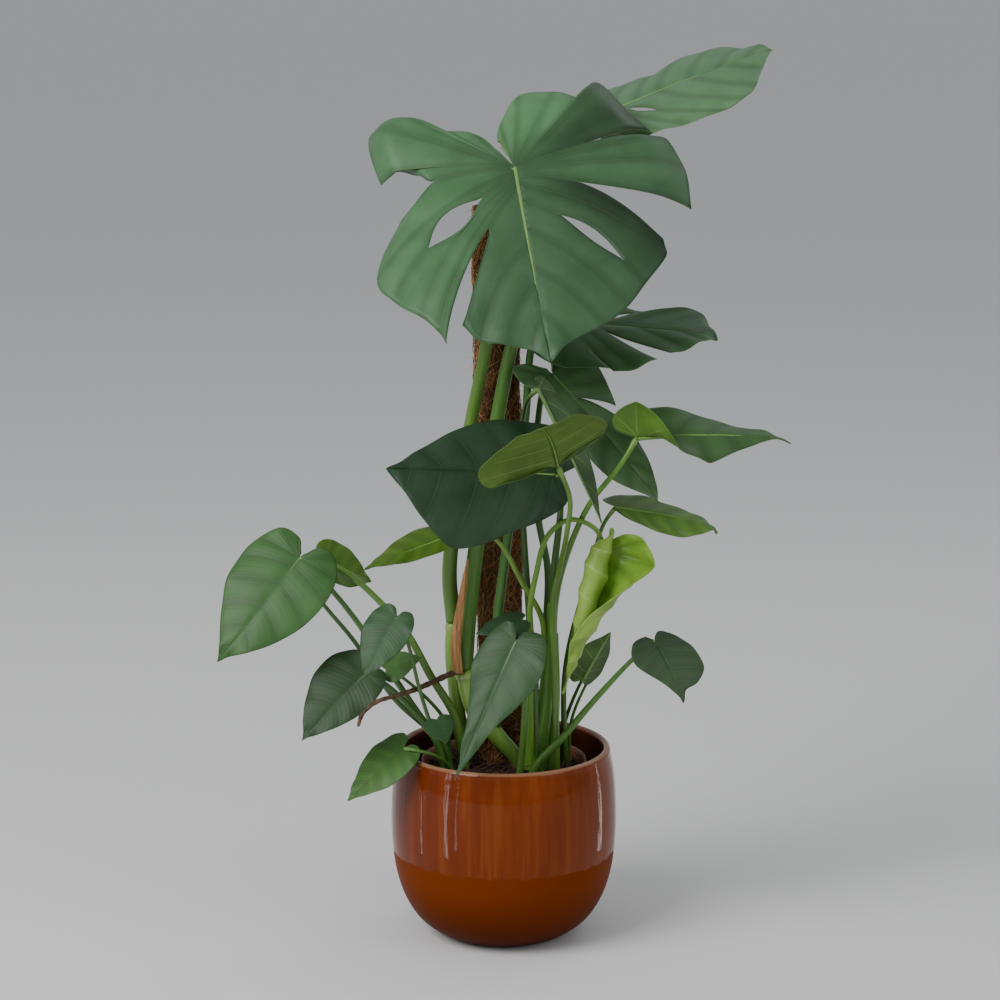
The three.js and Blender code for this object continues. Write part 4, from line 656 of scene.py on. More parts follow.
def spread_over(count, **values):
    """The same value at every point."""
    return {key: np.full((count, *np.shape(value)), value, float) for key, value in values.items()}


def patch_faces(grid):
    """Quads over a grid of point numbers."""
    return np.stack([grid[:-1, :-1], grid[:-1, 1:], grid[1:, 1:], grid[1:, :-1]], axis=-1).reshape(-1, 4)


def halved(quads):
    """Quads cut into triangles."""
    return np.vstack([quads[:, [0, 1, 2]], quads[:, [0, 2, 3]]])


def point_normals(points, faces):
    """Normals at the points: the sum of the cross products of the triangles round them."""
    corners = points[faces]
    normal = np.cross(corners[:, 1] - corners[:, 0], corners[:, 2] - corners[:, 0])
    total = np.zeros_like(points)
    for n in range(3):
        np.add.at(total, faces[:, n], normal)
    return unit(total)


def thickened(points, faces, half, under):
    """A sheet of triangles made solid: its points moved half the thickness up and down, with walls along
    its rim. under is the material index of its lower face and its walls."""
    edges = np.vstack([faces[:, [0, 1]], faces[:, [1, 2]], faces[:, [2, 0]]])
    count = len(points)
    ahead, back = edges[:, 0] * count + edges[:, 1], edges[:, 1] * count + edges[:, 0]
    rim = edges[~np.isin(ahead, back)]
    walls = np.stack([rim[:, 1], rim[:, 0], rim[:, 0] + count, rim[:, 1] + count], axis=1)
    normals = point_normals(points, faces)
    every = np.vstack([points + normals * half, points - normals * half])
    return every, [(faces, 0), (faces[:, ::-1] + count, under), (walls, under)]


def catmull(rows, place):
    """A Catmull-Rom curve through rows of numbers, at places counted in rows."""
    rows = np.asarray(rows, float)
    padded = np.vstack([2 * rows[0] - rows[1], rows, 2 * rows[-1] - rows[-2]])
    i = np.minimum(np.floor(place).astype(int), len(rows) - 2)
    t = (place - i)[:, None]
    a, b, c, d = padded[i], padded[i + 1], padded[i + 2], padded[i + 3]
    return 0.5 * (2 * b + (c - a) * t + (2 * a - 5 * b + 4 * c - d) * t ** 2
                  + (3 * b - a - 3 * c + d) * t ** 3)


def shape_at(value, side, place):
    """A number, or the value of a list spread evenly from 0 to 1, for one side of the blade."""
    own = value[0 if side > 0 else 1] if isinstance(value, list) else value
    if not isinstance(own, list):
        return np.full(len(place), float(own))
    return np.interp(place, np.linspace(0, 1, len(own)), own)


def lobes_of(leaf, side):
    """The lobes of one half of a blade, and how many spaces between veins they hold in all."""
    lobes = leaf["left" if side > 0 else "right"]
    return lobes, sum(len(edge) for edge, _, _ in lobes) - 1


def midrib(leaf):
    """The midrib at even places: point, direction, upward normal and leftward side. Its direction is
    turned down by droop in proportion to the distance and by hook near the tip, and aside by sway."""
    s = np.linspace(0, 1, RIB_PLACES)[:, None]
    azimuth, elevation, roll = np.radians([*leaf["aim"], leaf["roll"]])
    level, rise = np.cos(elevation), np.sin(elevation)
    ahead = np.array([level * np.cos(azimuth), level * np.sin(azimuth), rise])
    up0 = np.array([-rise * np.cos(azimuth), -rise * np.sin(azimuth), level])
    left0 = np.cross(up0, ahead)
    up = up0 * np.cos(roll) + left0 * np.sin(roll)
    left = left0 * np.cos(roll) - up0 * np.sin(roll)
    down = np.radians(leaf["droop"] * s + leaf.get("hook", 0) * smooth((s - 0.85) / 0.15))
    aside = np.radians(leaf.get("sway", 0) * s)
    direction = (ahead * np.cos(down) - up * np.sin(down)) * np.cos(aside) + left * np.sin(aside)
    normal = up * np.cos(down) + ahead * np.sin(down)
    normal = unit(normal - direction * (normal * direction).sum(1, keepdims=True))
    steps = direction * leaf["length"] / (RIB_PLACES - 1)
    steps[0] = leaf["stalk"][-1]
    return np.cumsum(steps, axis=0), direction, normal, np.cross(normal, direction)


def at_places(table, s):
    """A column of vectors along the midrib read at the fractions s."""
    return np.stack([np.interp(s, np.linspace(0, 1, RIB_PLACES), table[:, n]) for n in range(3)], axis=1)


def strip_points(leaf, side, rib, edge, place, share, rows):
    """Points of a strip of veins, one column for each place on its outline. In the flat a vein is a
    quadratic curve from its foot on the midrib to its end. The half is folded up at the midrib by fold,
    bent down across by arch and curled down by curl, from the crest outwards, and the steps along the vein
    are added up."""
    foot = np.interp(place, np.arange(len(edge)), np.array(edge)[:, 0])
    ends = catmull(edge, place)[:, 1:]
    start = np.stack([foot * leaf["length"], np.zeros(len(foot))], axis=1)
    end = ends * [leaf["length"], leaf["width"] / 2]
    bow = np.maximum(end[:, :1] - start[:, :1], 0) * 0.18
    bend = (start + end) / 2 + np.hstack([-bow, end[:, 1:] * 0.08])
    t = rows[None, :, None]
    flat = (1 - t) ** 2 * start[:, None] + 2 * t * (1 - t) * bend[:, None] + t ** 2 * end[:, None]
    middle = ((rows[1:] + rows[:-1]) / 2)[None, :]
    fold, arch, curl = (shape_at(leaf.get(key, 0), side, share)[:, None] for key in ("fold", "arch", "curl"))
    tilt = np.radians(fold - arch * middle)[..., None]
    crest, spread = leaf.get("crest", (0.45, 0.55))
    dip = np.radians(curl * smooth((middle - crest) / spread))[..., None]
    origin, direction, normal, left = (at_places(table, foot) for table in rib)
    direction, normal, outward = unit(direction)[:, None], unit(normal)[:, None], unit(left)[:, None] * side
    across = outward * np.cos(tilt) + normal * np.sin(tilt)
    above = normal * np.cos(tilt) - outward * np.sin(tilt)
    step = direction * np.diff(flat[..., :1], axis=1) + across * np.diff(flat[..., 1:], axis=1)
    size = np.linalg.norm(step, axis=-1, keepdims=True)
    step = step * np.cos(dip) - above * np.sin(dip) * size
    return origin[:, None] + np.concatenate([np.zeros((len(foot), 1, 3)), np.cumsum(step, axis=1)], axis=1)


def half_blade(leaf, side, rib, rows):
    """The strips of a half blade, each with its points and its places counted in veins. Where a slit or a
    window parts two strips, their neighbouring veins are drawn together up to the slit, or pushed apart
    along the window, and the shift fades out over one vein."""
    lobes, last = lobes_of(leaf, side)
    strips, joins, passed = [], [], 0
    for edge, cut, window in lobes:
        ends = [0, len(edge) - 1] if window is None else [0, window[0], len(edge) - 1]
        for low, high in zip(ends[:-1], ends[1:]):
            place = np.linspace(low, high, (high - low) * VEIN_COLUMNS + 1)
            points = strip_points(leaf, side, rib, edge, place, (passed + place) / last, rows)
            strips.append([points, passed + place])
            joins.append(("window", window) if high != len(edge) - 1 else ("slit", cut))
        passed += len(edge)
    for (kind, value), before, after in zip(joins, strips, strips[1:]):
        if kind == "slit":
            begin, gape = value
            opened = np.clip((rows - begin) / (1 - begin), 0, 1)[:, None]
            middle, held = (before[0][-1] + after[0][0]) / 2, 1 - np.sqrt(smooth(opened))
            aside = unit(after[0][0] - before[0][-1]) * np.sin(np.pi * opened) ** 0.5 * gape / 2
            shift_before = (middle - before[0][-1]) * held - aside
            shift_after = (middle - after[0][0]) * held + aside
        else:
            _, begin, end, width = value
            opened = np.sin(np.pi * np.clip((rows - begin) / (end - begin), 0, 1))[:, None]
            aside = unit(after[0][VEIN_COLUMNS // 2] - after[0][0]) * opened * width / 2
            shift_before, shift_after = -aside, aside
        before[0] = before[0] + shift_before * smooth(1 - (before[1][-1] - before[1]))[:, None, None]
        after[0] = after[0] + shift_after * smooth(1 - (after[1] - after[1][0]))[:, None, None]
    return strips


def blade_body(leaf, settings, rng):
    """A blade as a closed thin body. Its middle surface is the grids of veins and rows of both halves,
    welded; each point is then lifted between the veins and waved towards the margin, and the sheet is
    thickened."""
    size = leaf["length"]
    steps = 31 if size > 150 else 23 if size > 80 else 17
    rows = np.linspace(0, 1, steps) ** 0.9
    rib = midrib(leaf)
    phase = rng.uniform(0, 2 * np.pi, 2)
    quilt = leaf.get("quilt", min((size / 180) ** 2, 1)) * settings.quilting
    margin = settings.margin_wave * min(size / 160, 1.2) * rows ** 2.2
    body = smooth(rows / 0.2) * smooth((1 - rows) / 0.15)
    reach = smooth(rows / 0.12) * (1 - 0.75 * smooth((rows - 0.45) / 0.55))
    points, quads, fields, offset = [], [], [], 0
    for side in (1, -1):
        last = lobes_of(leaf, side)[1]
        for grid, place in half_blade(leaf, side, rib, rows):
            apart = np.linalg.norm(np.gradient(grid, axis=0), axis=2) * VEIN_COLUMNS
            share = np.abs(place - np.round(place))[:, None]
            fine_share = (np.abs(place * 4 - np.round(place * 4)) / 4)[:, None]
            hump = np.sin(np.pi * (place - np.floor(place)))[:, None] * body
            wave = np.sin(place * 2.1 + phase[0] + side) + 0.6 * np.sin(place * 4.3 + phase[1] - side)
            lift = quilt * np.minimum(apart / 26, 1.2) * hump + margin * wave[:, None]
            # Painted light and shade: the half's tint made lighter or darker along it, as the leaf lists,
            # fading in from the midrib.
            own_painted_light = shape_at(leaf.get("painted_light", 1), side, place / last)[:, None]
            painted_light = 1 + (own_painted_light - 1) * smooth(rows / 0.5)
            own = (share * apart, fine_share * apart, np.broadcast_to(reach, apart.shape), lift, painted_light)
            fields.append(np.stack([field.ravel() for field in own]))
            quad = patch_faces(offset + np.arange(apart.size).reshape(apart.shape))
            quads.append(quad[:, ::-1] if side > 0 else quad)
            points.append(grid.reshape(-1, 3))
            offset += apart.size
    points = np.vstack(points)
    _, kept, where = np.unique(np.round(points, 3), axis=0, return_index=True, return_inverse=True)
    faces = where.ravel()[halved(np.vstack(quads))]
    faces = faces[(faces != np.roll(faces, 1, axis=1)).all(axis=1)]
    points, (vein, fine, strength, lift, painted_light) = points[kept], np.hstack(fields)[:, kept]
    points = points + point_normals(points, faces) * lift[:, None]
    every, parts = thickened(points, faces, settings.blade_thickness / MM / 2, under=1)
    values = spread_over(len(every), tint=linear(leaf["upper"]), under_tint=linear(leaf["under"]))
    # The painted light and shade goes into the tint of the upper face.
    values["tint"] *= np.tile(painted_light, 2)[:, None]
    values.update(vein_mm=np.tile(vein, 2), fine_mm=np.tile(fine, 2), vein_strength=np.tile(strength, 2))
    return every, parts, values


def in_slot(parts, slot):
    """The same parts with another material index."""
    return [(faces, slot) for faces, _ in parts]


def rib_body(leaf):
    """The midrib: a tapered tube that shows as a low pale ridge above and stands out underneath."""
    origin, _, normal, _ = midrib(leaf)
    s = np.linspace(0, 0.97, 60)
    radius = leaf["radius"][1] * 0.8 * leaf.get("rib", 1) * (1 - s) ** 0.8 + 0.35
    upward = unit(at_places(normal, s))
    middle = at_places(origin, s) - upward * (radius * 0.8)[:, None]
    points, parts = tube(middle, radius, sides=10, reference=upward)
    colour = (np.array(linear(leaf["under"])) + linear("82ac5a")) / 2
    return points, in_slot(parts, 2), spread_over(len(points), tint=colour, under_tint=colour, **NO_VEIN)


def stalk_body(leaf):
    """The stalk: a tube along its points, thinning evenly, with a swollen knuckle just under the blade."""
    path = curve_through(leaf["stalk"], spacing=4.0)
    sides = 16
    t = np.linspace(0, 1, len(path))
    foot, top = leaf["radius"]
    far = (1 - t) * np.linalg.norm(np.diff(path, axis=0), axis=1).sum()
    knuckle = np.exp(-((far - 5) / (3.2 * top)) ** 2)
    radius = (foot + (top - foot) * t) * (1 + 0.28 * knuckle)
    radius[-1] *= 0.6
    points, parts = tube(path, radius, sides)
    blend = np.concatenate([np.repeat(0.55 * knuckle, sides), [0, 0.55]])[:, None]
    tint = np.array(linear(leaf["stalk_hex"])) * (1 - blend) + np.array(linear("8fae5c")) * blend
    values = spread_over(len(points), **NO_VEIN)
    return points, in_slot(parts, 2), {**values, "tint": tint, "under_tint": tint}


def hair_mesh(path, ring, shades):
    """Closed three-sided hairs: the points of each hair's path with a ring of three points round each."""
    points = path[:, :, None] + ring
    count, steps = points.shape[:2]
    grid = np.arange(count * steps * HAIR_SIDES).reshape(count, steps, HAIR_SIDES)
    beside = np.roll(grid, -1, axis=2)
    quads = np.stack([grid[:, :-1], beside[:, :-1], beside[:, 1:], grid[:, 1:]], axis=-1).reshape(-1, 4)
    caps = np.vstack([grid[:, 0, ::-1], grid[:, -1]])
    return points.reshape(-1, 3), [(quads, 0), (caps, 0)], {"shade": np.repeat(shades, steps * HAIR_SIDES)}


def strands(starts, directions, lengths, radii, bend, rng, shades):
    """Fine three-sided hairs, each a path of eight points that starts along its direction and bends aside."""
    s = np.linspace(0, 1, 8)[None, :, None]
    aside = unit(np.cross(directions, rng.normal(size=(len(starts), 3))))
    path = (starts[:, None] + directions[:, None] * s * lengths[:, None, None]
            + aside[:, None] * (bend * lengths)[:, None, None] * s ** 2)
    above = unit(np.cross(directions, aside))
    taper = (1 - 0.75 * s[..., None] ** 3) * radii[:, None, None, None]
    return hair_mesh(path, ring_round(aside[:, None], above[:, None], HAIR_SIDES) * taper, shades)


# Settings

class PlantSettings(bpy.types.PropertyGroup):
    """Sizes of the leaves."""
    blade_thickness: bpy.props.FloatProperty(
        name="Blade thickness", description="Thickness of every leaf blade", default=0.0006,
        min=0.0002, max=0.002, unit="LENGTH", subtype="DISTANCE")
    quilting: bpy.props.FloatProperty(
        name="Quilting", description="How far the blade rises between two veins, in millimetres",
        default=1.2, min=0.0, max=3.0)
    margin_wave: bpy.props.FloatProperty(
        name="Margin wave", description="How far the margin of a long blade waves, in millimetres",
        default=1.6, min=0.0, max=5.0)


class PotSettings(bpy.types.PropertyGroup):
    """Colours of the glazed pot."""
    glaze: bpy.props.FloatVectorProperty(
        name="Glaze", description="Colour of the glaze where it is thin", default=linear("742f00")[:3],
        min=0, max=1, subtype="COLOR")
    glaze_deep: bpy.props.FloatVectorProperty(
        name="Deep glaze", description="Colour of the glaze where it is thick",
        default=linear("622200")[:3], min=0, max=1, subtype="COLOR")


class PoleSettings(bpy.types.PropertyGroup):
    """Sizes of the coir on the pole."""
    lying_hairs: bpy.props.IntProperty(
        name="Lying hairs", description="Number of hairs that lie round the pole", default=3000,
        min=0, max=4000)
    loose_hairs: bpy.props.IntProperty(
        name="Loose hairs", description="Number of hairs that stand off the pole", default=800,
        min=0, max=2000)


class StageSettings(bpy.types.PropertyGroup):
    """Floor and lights."""
    floor: bpy.props.FloatVectorProperty(
        name="Floor", description="Colour of the floor", default=linear("d9d8d6")[:3],
        min=0, max=1, subtype="COLOR")
    key_power: bpy.props.FloatProperty(
        name="Key light", description="Power of the large light", default=98.0, min=0,
        unit="POWER", subtype="POWER")


# Operators

class PLANT_OT_stage(bpy.types.Operator):
    """Adds the floor, the lights and the camera"""
    bl_idname = "plant.stage"
    bl_label = "Stage"

    def execute(self, context):
        settings = context.scene.plant_stage
        reach, sides, level = 60000, 96, -0.2
        angle = np.linspace(0, 2 * np.pi, sides, endpoint=False)
        points = np.stack([reach * np.cos(angle), reach * np.sin(angle), np.full(sides, level)], axis=1)
        face = np.arange(sides)[None, :]
        build_object("studio_floor", points, [(face, 0)], [floor_material(settings)])
        world = bpy.data.worlds.new("Studio air")
        context.scene.world = world
        world.use_nodes = True
        background = world.node_tree.nodes["Background"]
        background.inputs["Color"].default_value = linear("e6eaf0")
        background.inputs["Strength"].default_value = 0.6
        power = settings.key_power
        lamps = [
            ("key_softbox", (-1.9, -1.7, 2.4), 0.5, (1.8, 1.8), power),
            ("fill_softbox", (2.2, -1.6, 1.5), 0.5, (1.4, 1.8), power * 0.14),
            ("back_softbox", (1.6, 1.6, 2.4), 0.6, (1.4, 1.4), power * 0.08),
            ("strip_far_left", (-0.336, -0.071, 0.104), 0.104, (0.012, 0.19), 0.05),
            ("strip_left", (-0.278, -0.226, 0.104), 0.104, (0.018, 0.19), 0.1),
            ("strip_front_left", (-0.242, -0.269, 0.13), 0.13, (0.008, 0.19), 0.03),
            ("strip_right", (0.326, 0.045, 0.104), 0.104, (0.014, 0.19), 0.045),
        ]
        for name, place, target_height, size, watts in lamps:
            self.add_lamp(context, name, place, target_height, size, watts)
        camera = bpy.data.objects.new("photo_camera", bpy.data.cameras.new("photo_camera"))
        camera.location = (-0.004, -2.97, 1.07)
        camera.rotation_euler = (math.radians(90 - 11.43), 0, 0)
        camera.data.lens = 104.4
        camera.data.sensor_width = 36.0
        context.scene.collection.objects.link(camera)
        context.scene.camera = camera
        return {"FINISHED"}

    def add_lamp(self, context, name, place, target_height, size, watts):
        """An area light that faces the object's axis. The strips only make highlights on the glaze."""
        light = bpy.data.lights.new(name, "AREA")
        light.shape = "RECTANGLE"
        light.size, light.size_y = size
        light.energy = watts
        lamp = bpy.data.objects.new(name, light)
        x, y, z = place
        lamp.location = place
        tip = math.atan2(math.hypot(x, y), z - target_height)
        lamp.rotation_euler = (tip, 0, math.atan2(-y, -x) - math.pi / 2)
        lamp.visible_camera = False
        lamp.visible_diffuse = not name.startswith("strip")
        context.scene.collection.objects.link(lamp)


class PLANT_OT_glazed_pot(bpy.types.Operator):
    """Adds the glazed pot with its rolled rim"""
    bl_idname = "plant.glazed_pot"
    bl_label = "Glazed pot"

    def execute(self, context):
        outside = rounded([[54, 0.3], [64, 1.6], [74, 6], [92, 20], [106, 42], [114.5, 68], [119, 100],
                           [120, 132], [117.8, 172], [113.4, 198]], spacing=2.5)
        rim = rounded([[113.4, 198], [112.9, 202], [110.5, 204.6], [107.6, 204.6], [105.4, 202],
                       [105, 197]], spacing=0.7)
        inside = rounded([[105, 197], [109.6, 172], [111.8, 132], [110.8, 100], [106.6, 68], [98.6, 42],
                          [82.6, 20.6], [66, 10.2], [50, 10]], spacing=4)
        profile = np.vstack([[[0, 0.3], [20, 0.3]], outside, rim[1:], inside[1:], [[20, 10], [0, 10]]])
        points, ((walls, _), (caps, _)) = turned(profile, sides=192)
        away, height = np.hypot(points[:, 0], points[:, 1]), points[:, 2]
        within = (away < np.interp(height, outside[:, 1], outside[:, 0]) - 4) & (height > 9)
        values = {
            # A painted highlight on the top of the rim.
            "lip": smooth((height - 201.5) / 2.5) * 0.75,
            # Painted shade on the inner wall, below the top of the rim.
            "inner_painted_shade": within * smooth((203.5 - height) / 5) * 0.8,
        }
        foot = (away < 57) & (height < 1.0)
        bare = foot[walls].all(axis=1)
        pot = build_object("pot_glaze", points, [(walls[~bare], 0), (walls[bare], 1), (caps, 1)],
                           [glaze_material(context.scene.plant_pot), bisque_material()], values)
        fitted(pot, "glazed_pot")
        return {"FINISHED"}


class PLANT_OT_nursery_pot(bpy.types.Operator):
    """Adds the nursery pot with its turned-out rim"""
    bl_idname = "plant.nursery_pot"
    bl_label = "Nursery pot"

    def execute(self, context):
        outside = rounded([[62, 10.4], [66.2, 44], [75, 110], [84, 177]], spacing=8)
        rim = rounded([[84, 177], [86.8, 178], [87.8, 179.5], [87.8, 188], [87.2, 189.8],
                       [86.4, 189.6]], spacing=1)
        inside = rounded([[86.4, 189.6], [85.9, 182], [82.4, 174], [73.5, 110], [60.4, 12.2]], spacing=6)
        profile = np.vstack([[[0, 10.4], [30, 10.4]], outside, rim[1:], inside[1:], [[30, 12.2], [0, 12.2]]])
        pot = build_object("nursery_pot_skin", *turned(profile, sides=128), [nursery_material()])
        fitted(pot, "nursery_pot")
        return {"FINISHED"}


class PLANT_OT_soil(bpy.types.Operator):
    """Adds the compost with its crumbs and bits of fibre"""
    bl_idname = "plant.soil"
    bl_label = "Compost"

    def execute(self, context):
        rng = np.random.default_rng(7)
        points, parts, values = merged([self.bed(rng), self.crumbs(rng, count=1500)])
        soil = build_object("compost", points, parts, [compost_material()], values)
        fitted(soil, "soil")
        points, parts, values = self.chips(rng, count=420)
        material = fibre_material("Coir chips in compost", "2c190d", "8a5c34")
        fitted(build_object("compost_fibre", points, parts, [material], values), None)
        return {"FINISHED"}

    def bed(self, rng):
        """The compost as a low disc: 59 rings of its wavy surface, and one at its floor."""
        sides = 180
        radius = np.linspace(0, 1, 60)[1:, None] * SOIL_RADIUS
        angle = np.linspace(0, 2 * np.pi, sides, endpoint=False)
        x, y = radius * np.cos(angle), radius * np.sin(angle)
        height = (SOIL_TOP + 2.2 * np.sin(x * 0.11 + 1) * np.cos(y * 0.13) + 0.9 * np.sin(x * 0.43 + y * 0.31)
                  + 0.8 * np.cos(x * 0.71 - y * 0.53) + rng.normal(0, 0.45, x.shape))
        height = height - 3.0 * smooth((radius - 74) / 8)
        low = np.stack([x[-1] * 0.97, y[-1] * 0.97, np.full(sides, SOIL_FLOOR)], axis=1)
        points = np.vstack([np.stack([x, y, height], axis=-1).reshape(-1, 3), low,
                            [[0, 0, SOIL_TOP], [0, 0, SOIL_FLOOR]]])
        return points, ring_faces(len(radius) + 1, sides, flipped=True), {"shade": np.zeros(len(points))}

    def scattered(self, rng, count, reach):
        """Places strewn evenly over a disc."""
        place = rng.uniform(0, 1, count) ** 0.5 * reach
        turn = rng.uniform(0, 2 * np.pi, count)
        return place * np.cos(turn), place * np.sin(turn)

    def crumbs(self, rng, count):
        """Crumbs: stretched and dented octahedra, cut finer once, strewn over the compost."""
        corners = np.array([[1, 0, 0], [-1, 0, 0], [0, 1, 0], [0, -1, 0], [0, 0, 1], [0, 0, -1]], float)
        edges = [(a, b) for a in range(5) for b in range(a + 1, 6) if a // 2 != b // 2]
        ball = np.vstack([corners, unit(np.array([corners[a] + corners[b] for a, b in edges]))])
        number = {edge: 6 + n for n, edge in enumerate(edges)}
        faces = []
        for a in (0, 1):
            for b in (2, 3):
                for c in (4, 5):
                    x, y, z = number[a, b], number[b, c], number[a, c]
                    small = [(a, x, z), (x, b, y), (z, y, c), (x, y, z)]
                    out = np.dot(np.cross(corners[b] - corners[a], corners[c] - corners[a]), corners[a]) > 0
                    faces += small if out else [face[::-1] for face in small]
        x, y = self.scattered(rng, count, reach=79)
        centre = np.stack([x, y, SOIL_TOP + rng.uniform(-0.5, 2.4, count)], axis=1)
        size = rng.uniform(0.8, 3.2, (count, 1, 3)) * rng.uniform(0.5, 1.2, (count, 1, 1))
        dent = rng.uniform(0.7, 1.2, (count, len(ball), 1))
        points = centre[:, None] + ball[None] * size * dent
        every = (np.array(faces)[None] + (np.arange(count) * len(ball))[:, None, None]).reshape(-1, 3)
        shade = np.repeat(rng.uniform(0, 1, count) ** 2, len(ball))
        return points.reshape(-1, 3), [(every, 0)], {"shade": shade}

    def chips(self, rng, count):
        """Coir fibres that lie on the compost and stay inside the nursery pot."""
        x, y = self.scattered(rng, count, reach=76)
        starts = np.stack([x, y, np.full(count, SOIL_TOP + 1.5)], axis=1)
        way = [rng.normal(size=count), rng.normal(size=count), rng.normal(0.15, 0.25, count)]
        points, parts, values = strands(
            starts, unit(np.stack(way, axis=1)), rng.uniform(10, 30, count), rng.uniform(0.18, 0.4, count),
            rng.uniform(0.1, 0.5, count), rng, rng.uniform(0, 1, count))
        away = np.hypot(points[:, 0], points[:, 1])
        points[:, :2] *= np.minimum(1, (SOIL_RADIUS + 1) / np.maximum(away, 1))[:, None]
        return points, parts, values


class PLANT_OT_coir_pole(bpy.types.Operator):
    """Adds the coir round the pole: a felt core and its hairs, and gives the stake its wood"""
    bl_idname = "plant.coir_pole"
    bl_label = "Coir pole"

    def execute(self, context):
        settings = context.scene.plant_pole
        rng = np.random.default_rng(11)
        pieces = [
            ("coir_felt", self.core(rng), husk_material()),
            ("coir_hairs", self.lying(rng, settings.lying_hairs),
             fibre_material("Coir hair", "4e2f17", "d09a55")),
            ("coir_wisps", self.loose(rng, settings.loose_hairs),
             fibre_material("Loose coir hair", "6a4020", "d39c58")),
        ]
        for name, (points, parts, values), material in pieces:
            fitted(build_object(name, points, parts, [material], values), "coir_pole")
        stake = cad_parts["pole_stake"]
        stake.data.materials.clear()
        stake.data.materials.append(wood_material())
        return {"FINISHED"}

    def surface(self, height, angle, radius):
        """A point round the pole's leaning axis."""
        t = ((height - SOIL_TOP) / (POLE_TOP - SOIL_TOP))[..., None]
        centre = POLE_FOOT + (POLE_HEAD - POLE_FOOT) * t
        x, y = centre[..., 0] + radius * np.cos(angle), centre[..., 1] + radius * np.sin(angle)
        return np.stack([x, y, height], axis=-1)

    def lumpy(self, height, angle, away):
        """A radius that swells and sinks in low lumps, and the distance away from them."""
        lumps = 0.9 * np.sin(3 * angle + height * 0.05) + 0.6 * np.sin(5 * angle - height * 0.11)
        return POLE_RADIUS - 1.2 + lumps + away

    def core(self, rng):
        """The felt: a lumpy sleeve from under the compost to the top, turned in at both ends."""
        sides = 96
        angle = np.linspace(0, 2 * np.pi, sides, endpoint=False)
        heights, angles = np.meshgrid(np.linspace(COIR_FOOT, POLE_TOP - 1, 330), angle, indexing="ij")
        radii = self.lumpy(heights, angles, rng.normal(0, 0.35, heights.shape) - 1.0)
        for height, radius in ((POLE_TOP, 19), (POLE_TOP - 1, 8.6)):
            heights = np.vstack([heights, np.full(sides, height)])
            angles, radii = np.vstack([angles, angle]), np.vstack([radii, np.full(sides, radius)])
        rings = self.surface(heights, angles, radii)
        poles = self.surface(np.array([COIR_FOOT, POLE_TOP]), np.zeros(2), 0)
        poles[1, 2] -= 2.4
        return np.vstack([rings.reshape(-1, 3), poles]), ring_faces(len(rings), sides), None

    def lying(self, rng, count):
        """Hairs that lie on the felt: each follows it at a slant of its own, in and out of the others."""
        s = np.linspace(0, 1, 9)[None, :]
        start = rng.uniform(170, POLE_TOP - 6, count)[:, None]
        turn = rng.uniform(0, 2 * np.pi, count)[:, None]
        slant = rng.uniform(-1.2, 1.2, count)[:, None]
        length = rng.uniform(18, 58, count)[:, None]
        climb = length * np.cos(slant) * s * rng.choice([-1, 1], (count, 1)) + 2 * np.sin(s * 5 + turn)
        height = np.clip(start + climb, COIR_FOOT, POLE_TOP - 0.8)
        angle = turn + length * np.sin(slant) * s / POLE_RADIUS + 0.05 * np.sin(s * 6 + slant * 9)
        away = rng.uniform(-0.9, 1.1, (count, 1)) + 0.7 * np.sin(s * 3.1 + turn * 5)
        path = self.surface(height, angle, self.lumpy(height, angle, away))
        outward = np.stack([np.cos(angle), np.sin(angle), np.zeros_like(angle)], axis=-1)
        aside = unit(np.cross(unit(np.gradient(path, axis=1)), outward))
        radius = rng.uniform(0.2, 0.42, count)[:, None, None, None]
        ring = ring_round(outward, aside, HAIR_SIDES) * radius
        return hair_mesh(path, ring, rng.uniform(0, 1, count) ** 1.4)

    def loose(self, rng, count):
        """Wisps that spring off the pole and curl."""
        height = rng.uniform(185, POLE_TOP, count)
        angle = rng.uniform(0, 2 * np.pi, count)
        starts = self.surface(height, angle, self.lumpy(height, angle, -0.5))
        outward = np.stack([np.cos(angle), np.sin(angle), np.zeros(count)], axis=1)
        along = np.stack([-np.sin(angle), np.cos(angle), np.zeros(count)], axis=1)
        way = unit(outward * rng.uniform(0.15, 0.6, (count, 1)) + along * rng.normal(0, 0.7, (count, 1))
                   + np.array([0, 0, 1]) * rng.normal(0, 0.7, (count, 1)))
        return strands(starts, way, rng.uniform(5, 15, count), rng.uniform(0.14, 0.26, count),
                       rng.uniform(0.1, 0.6, count), rng, rng.uniform(0, 1, count))


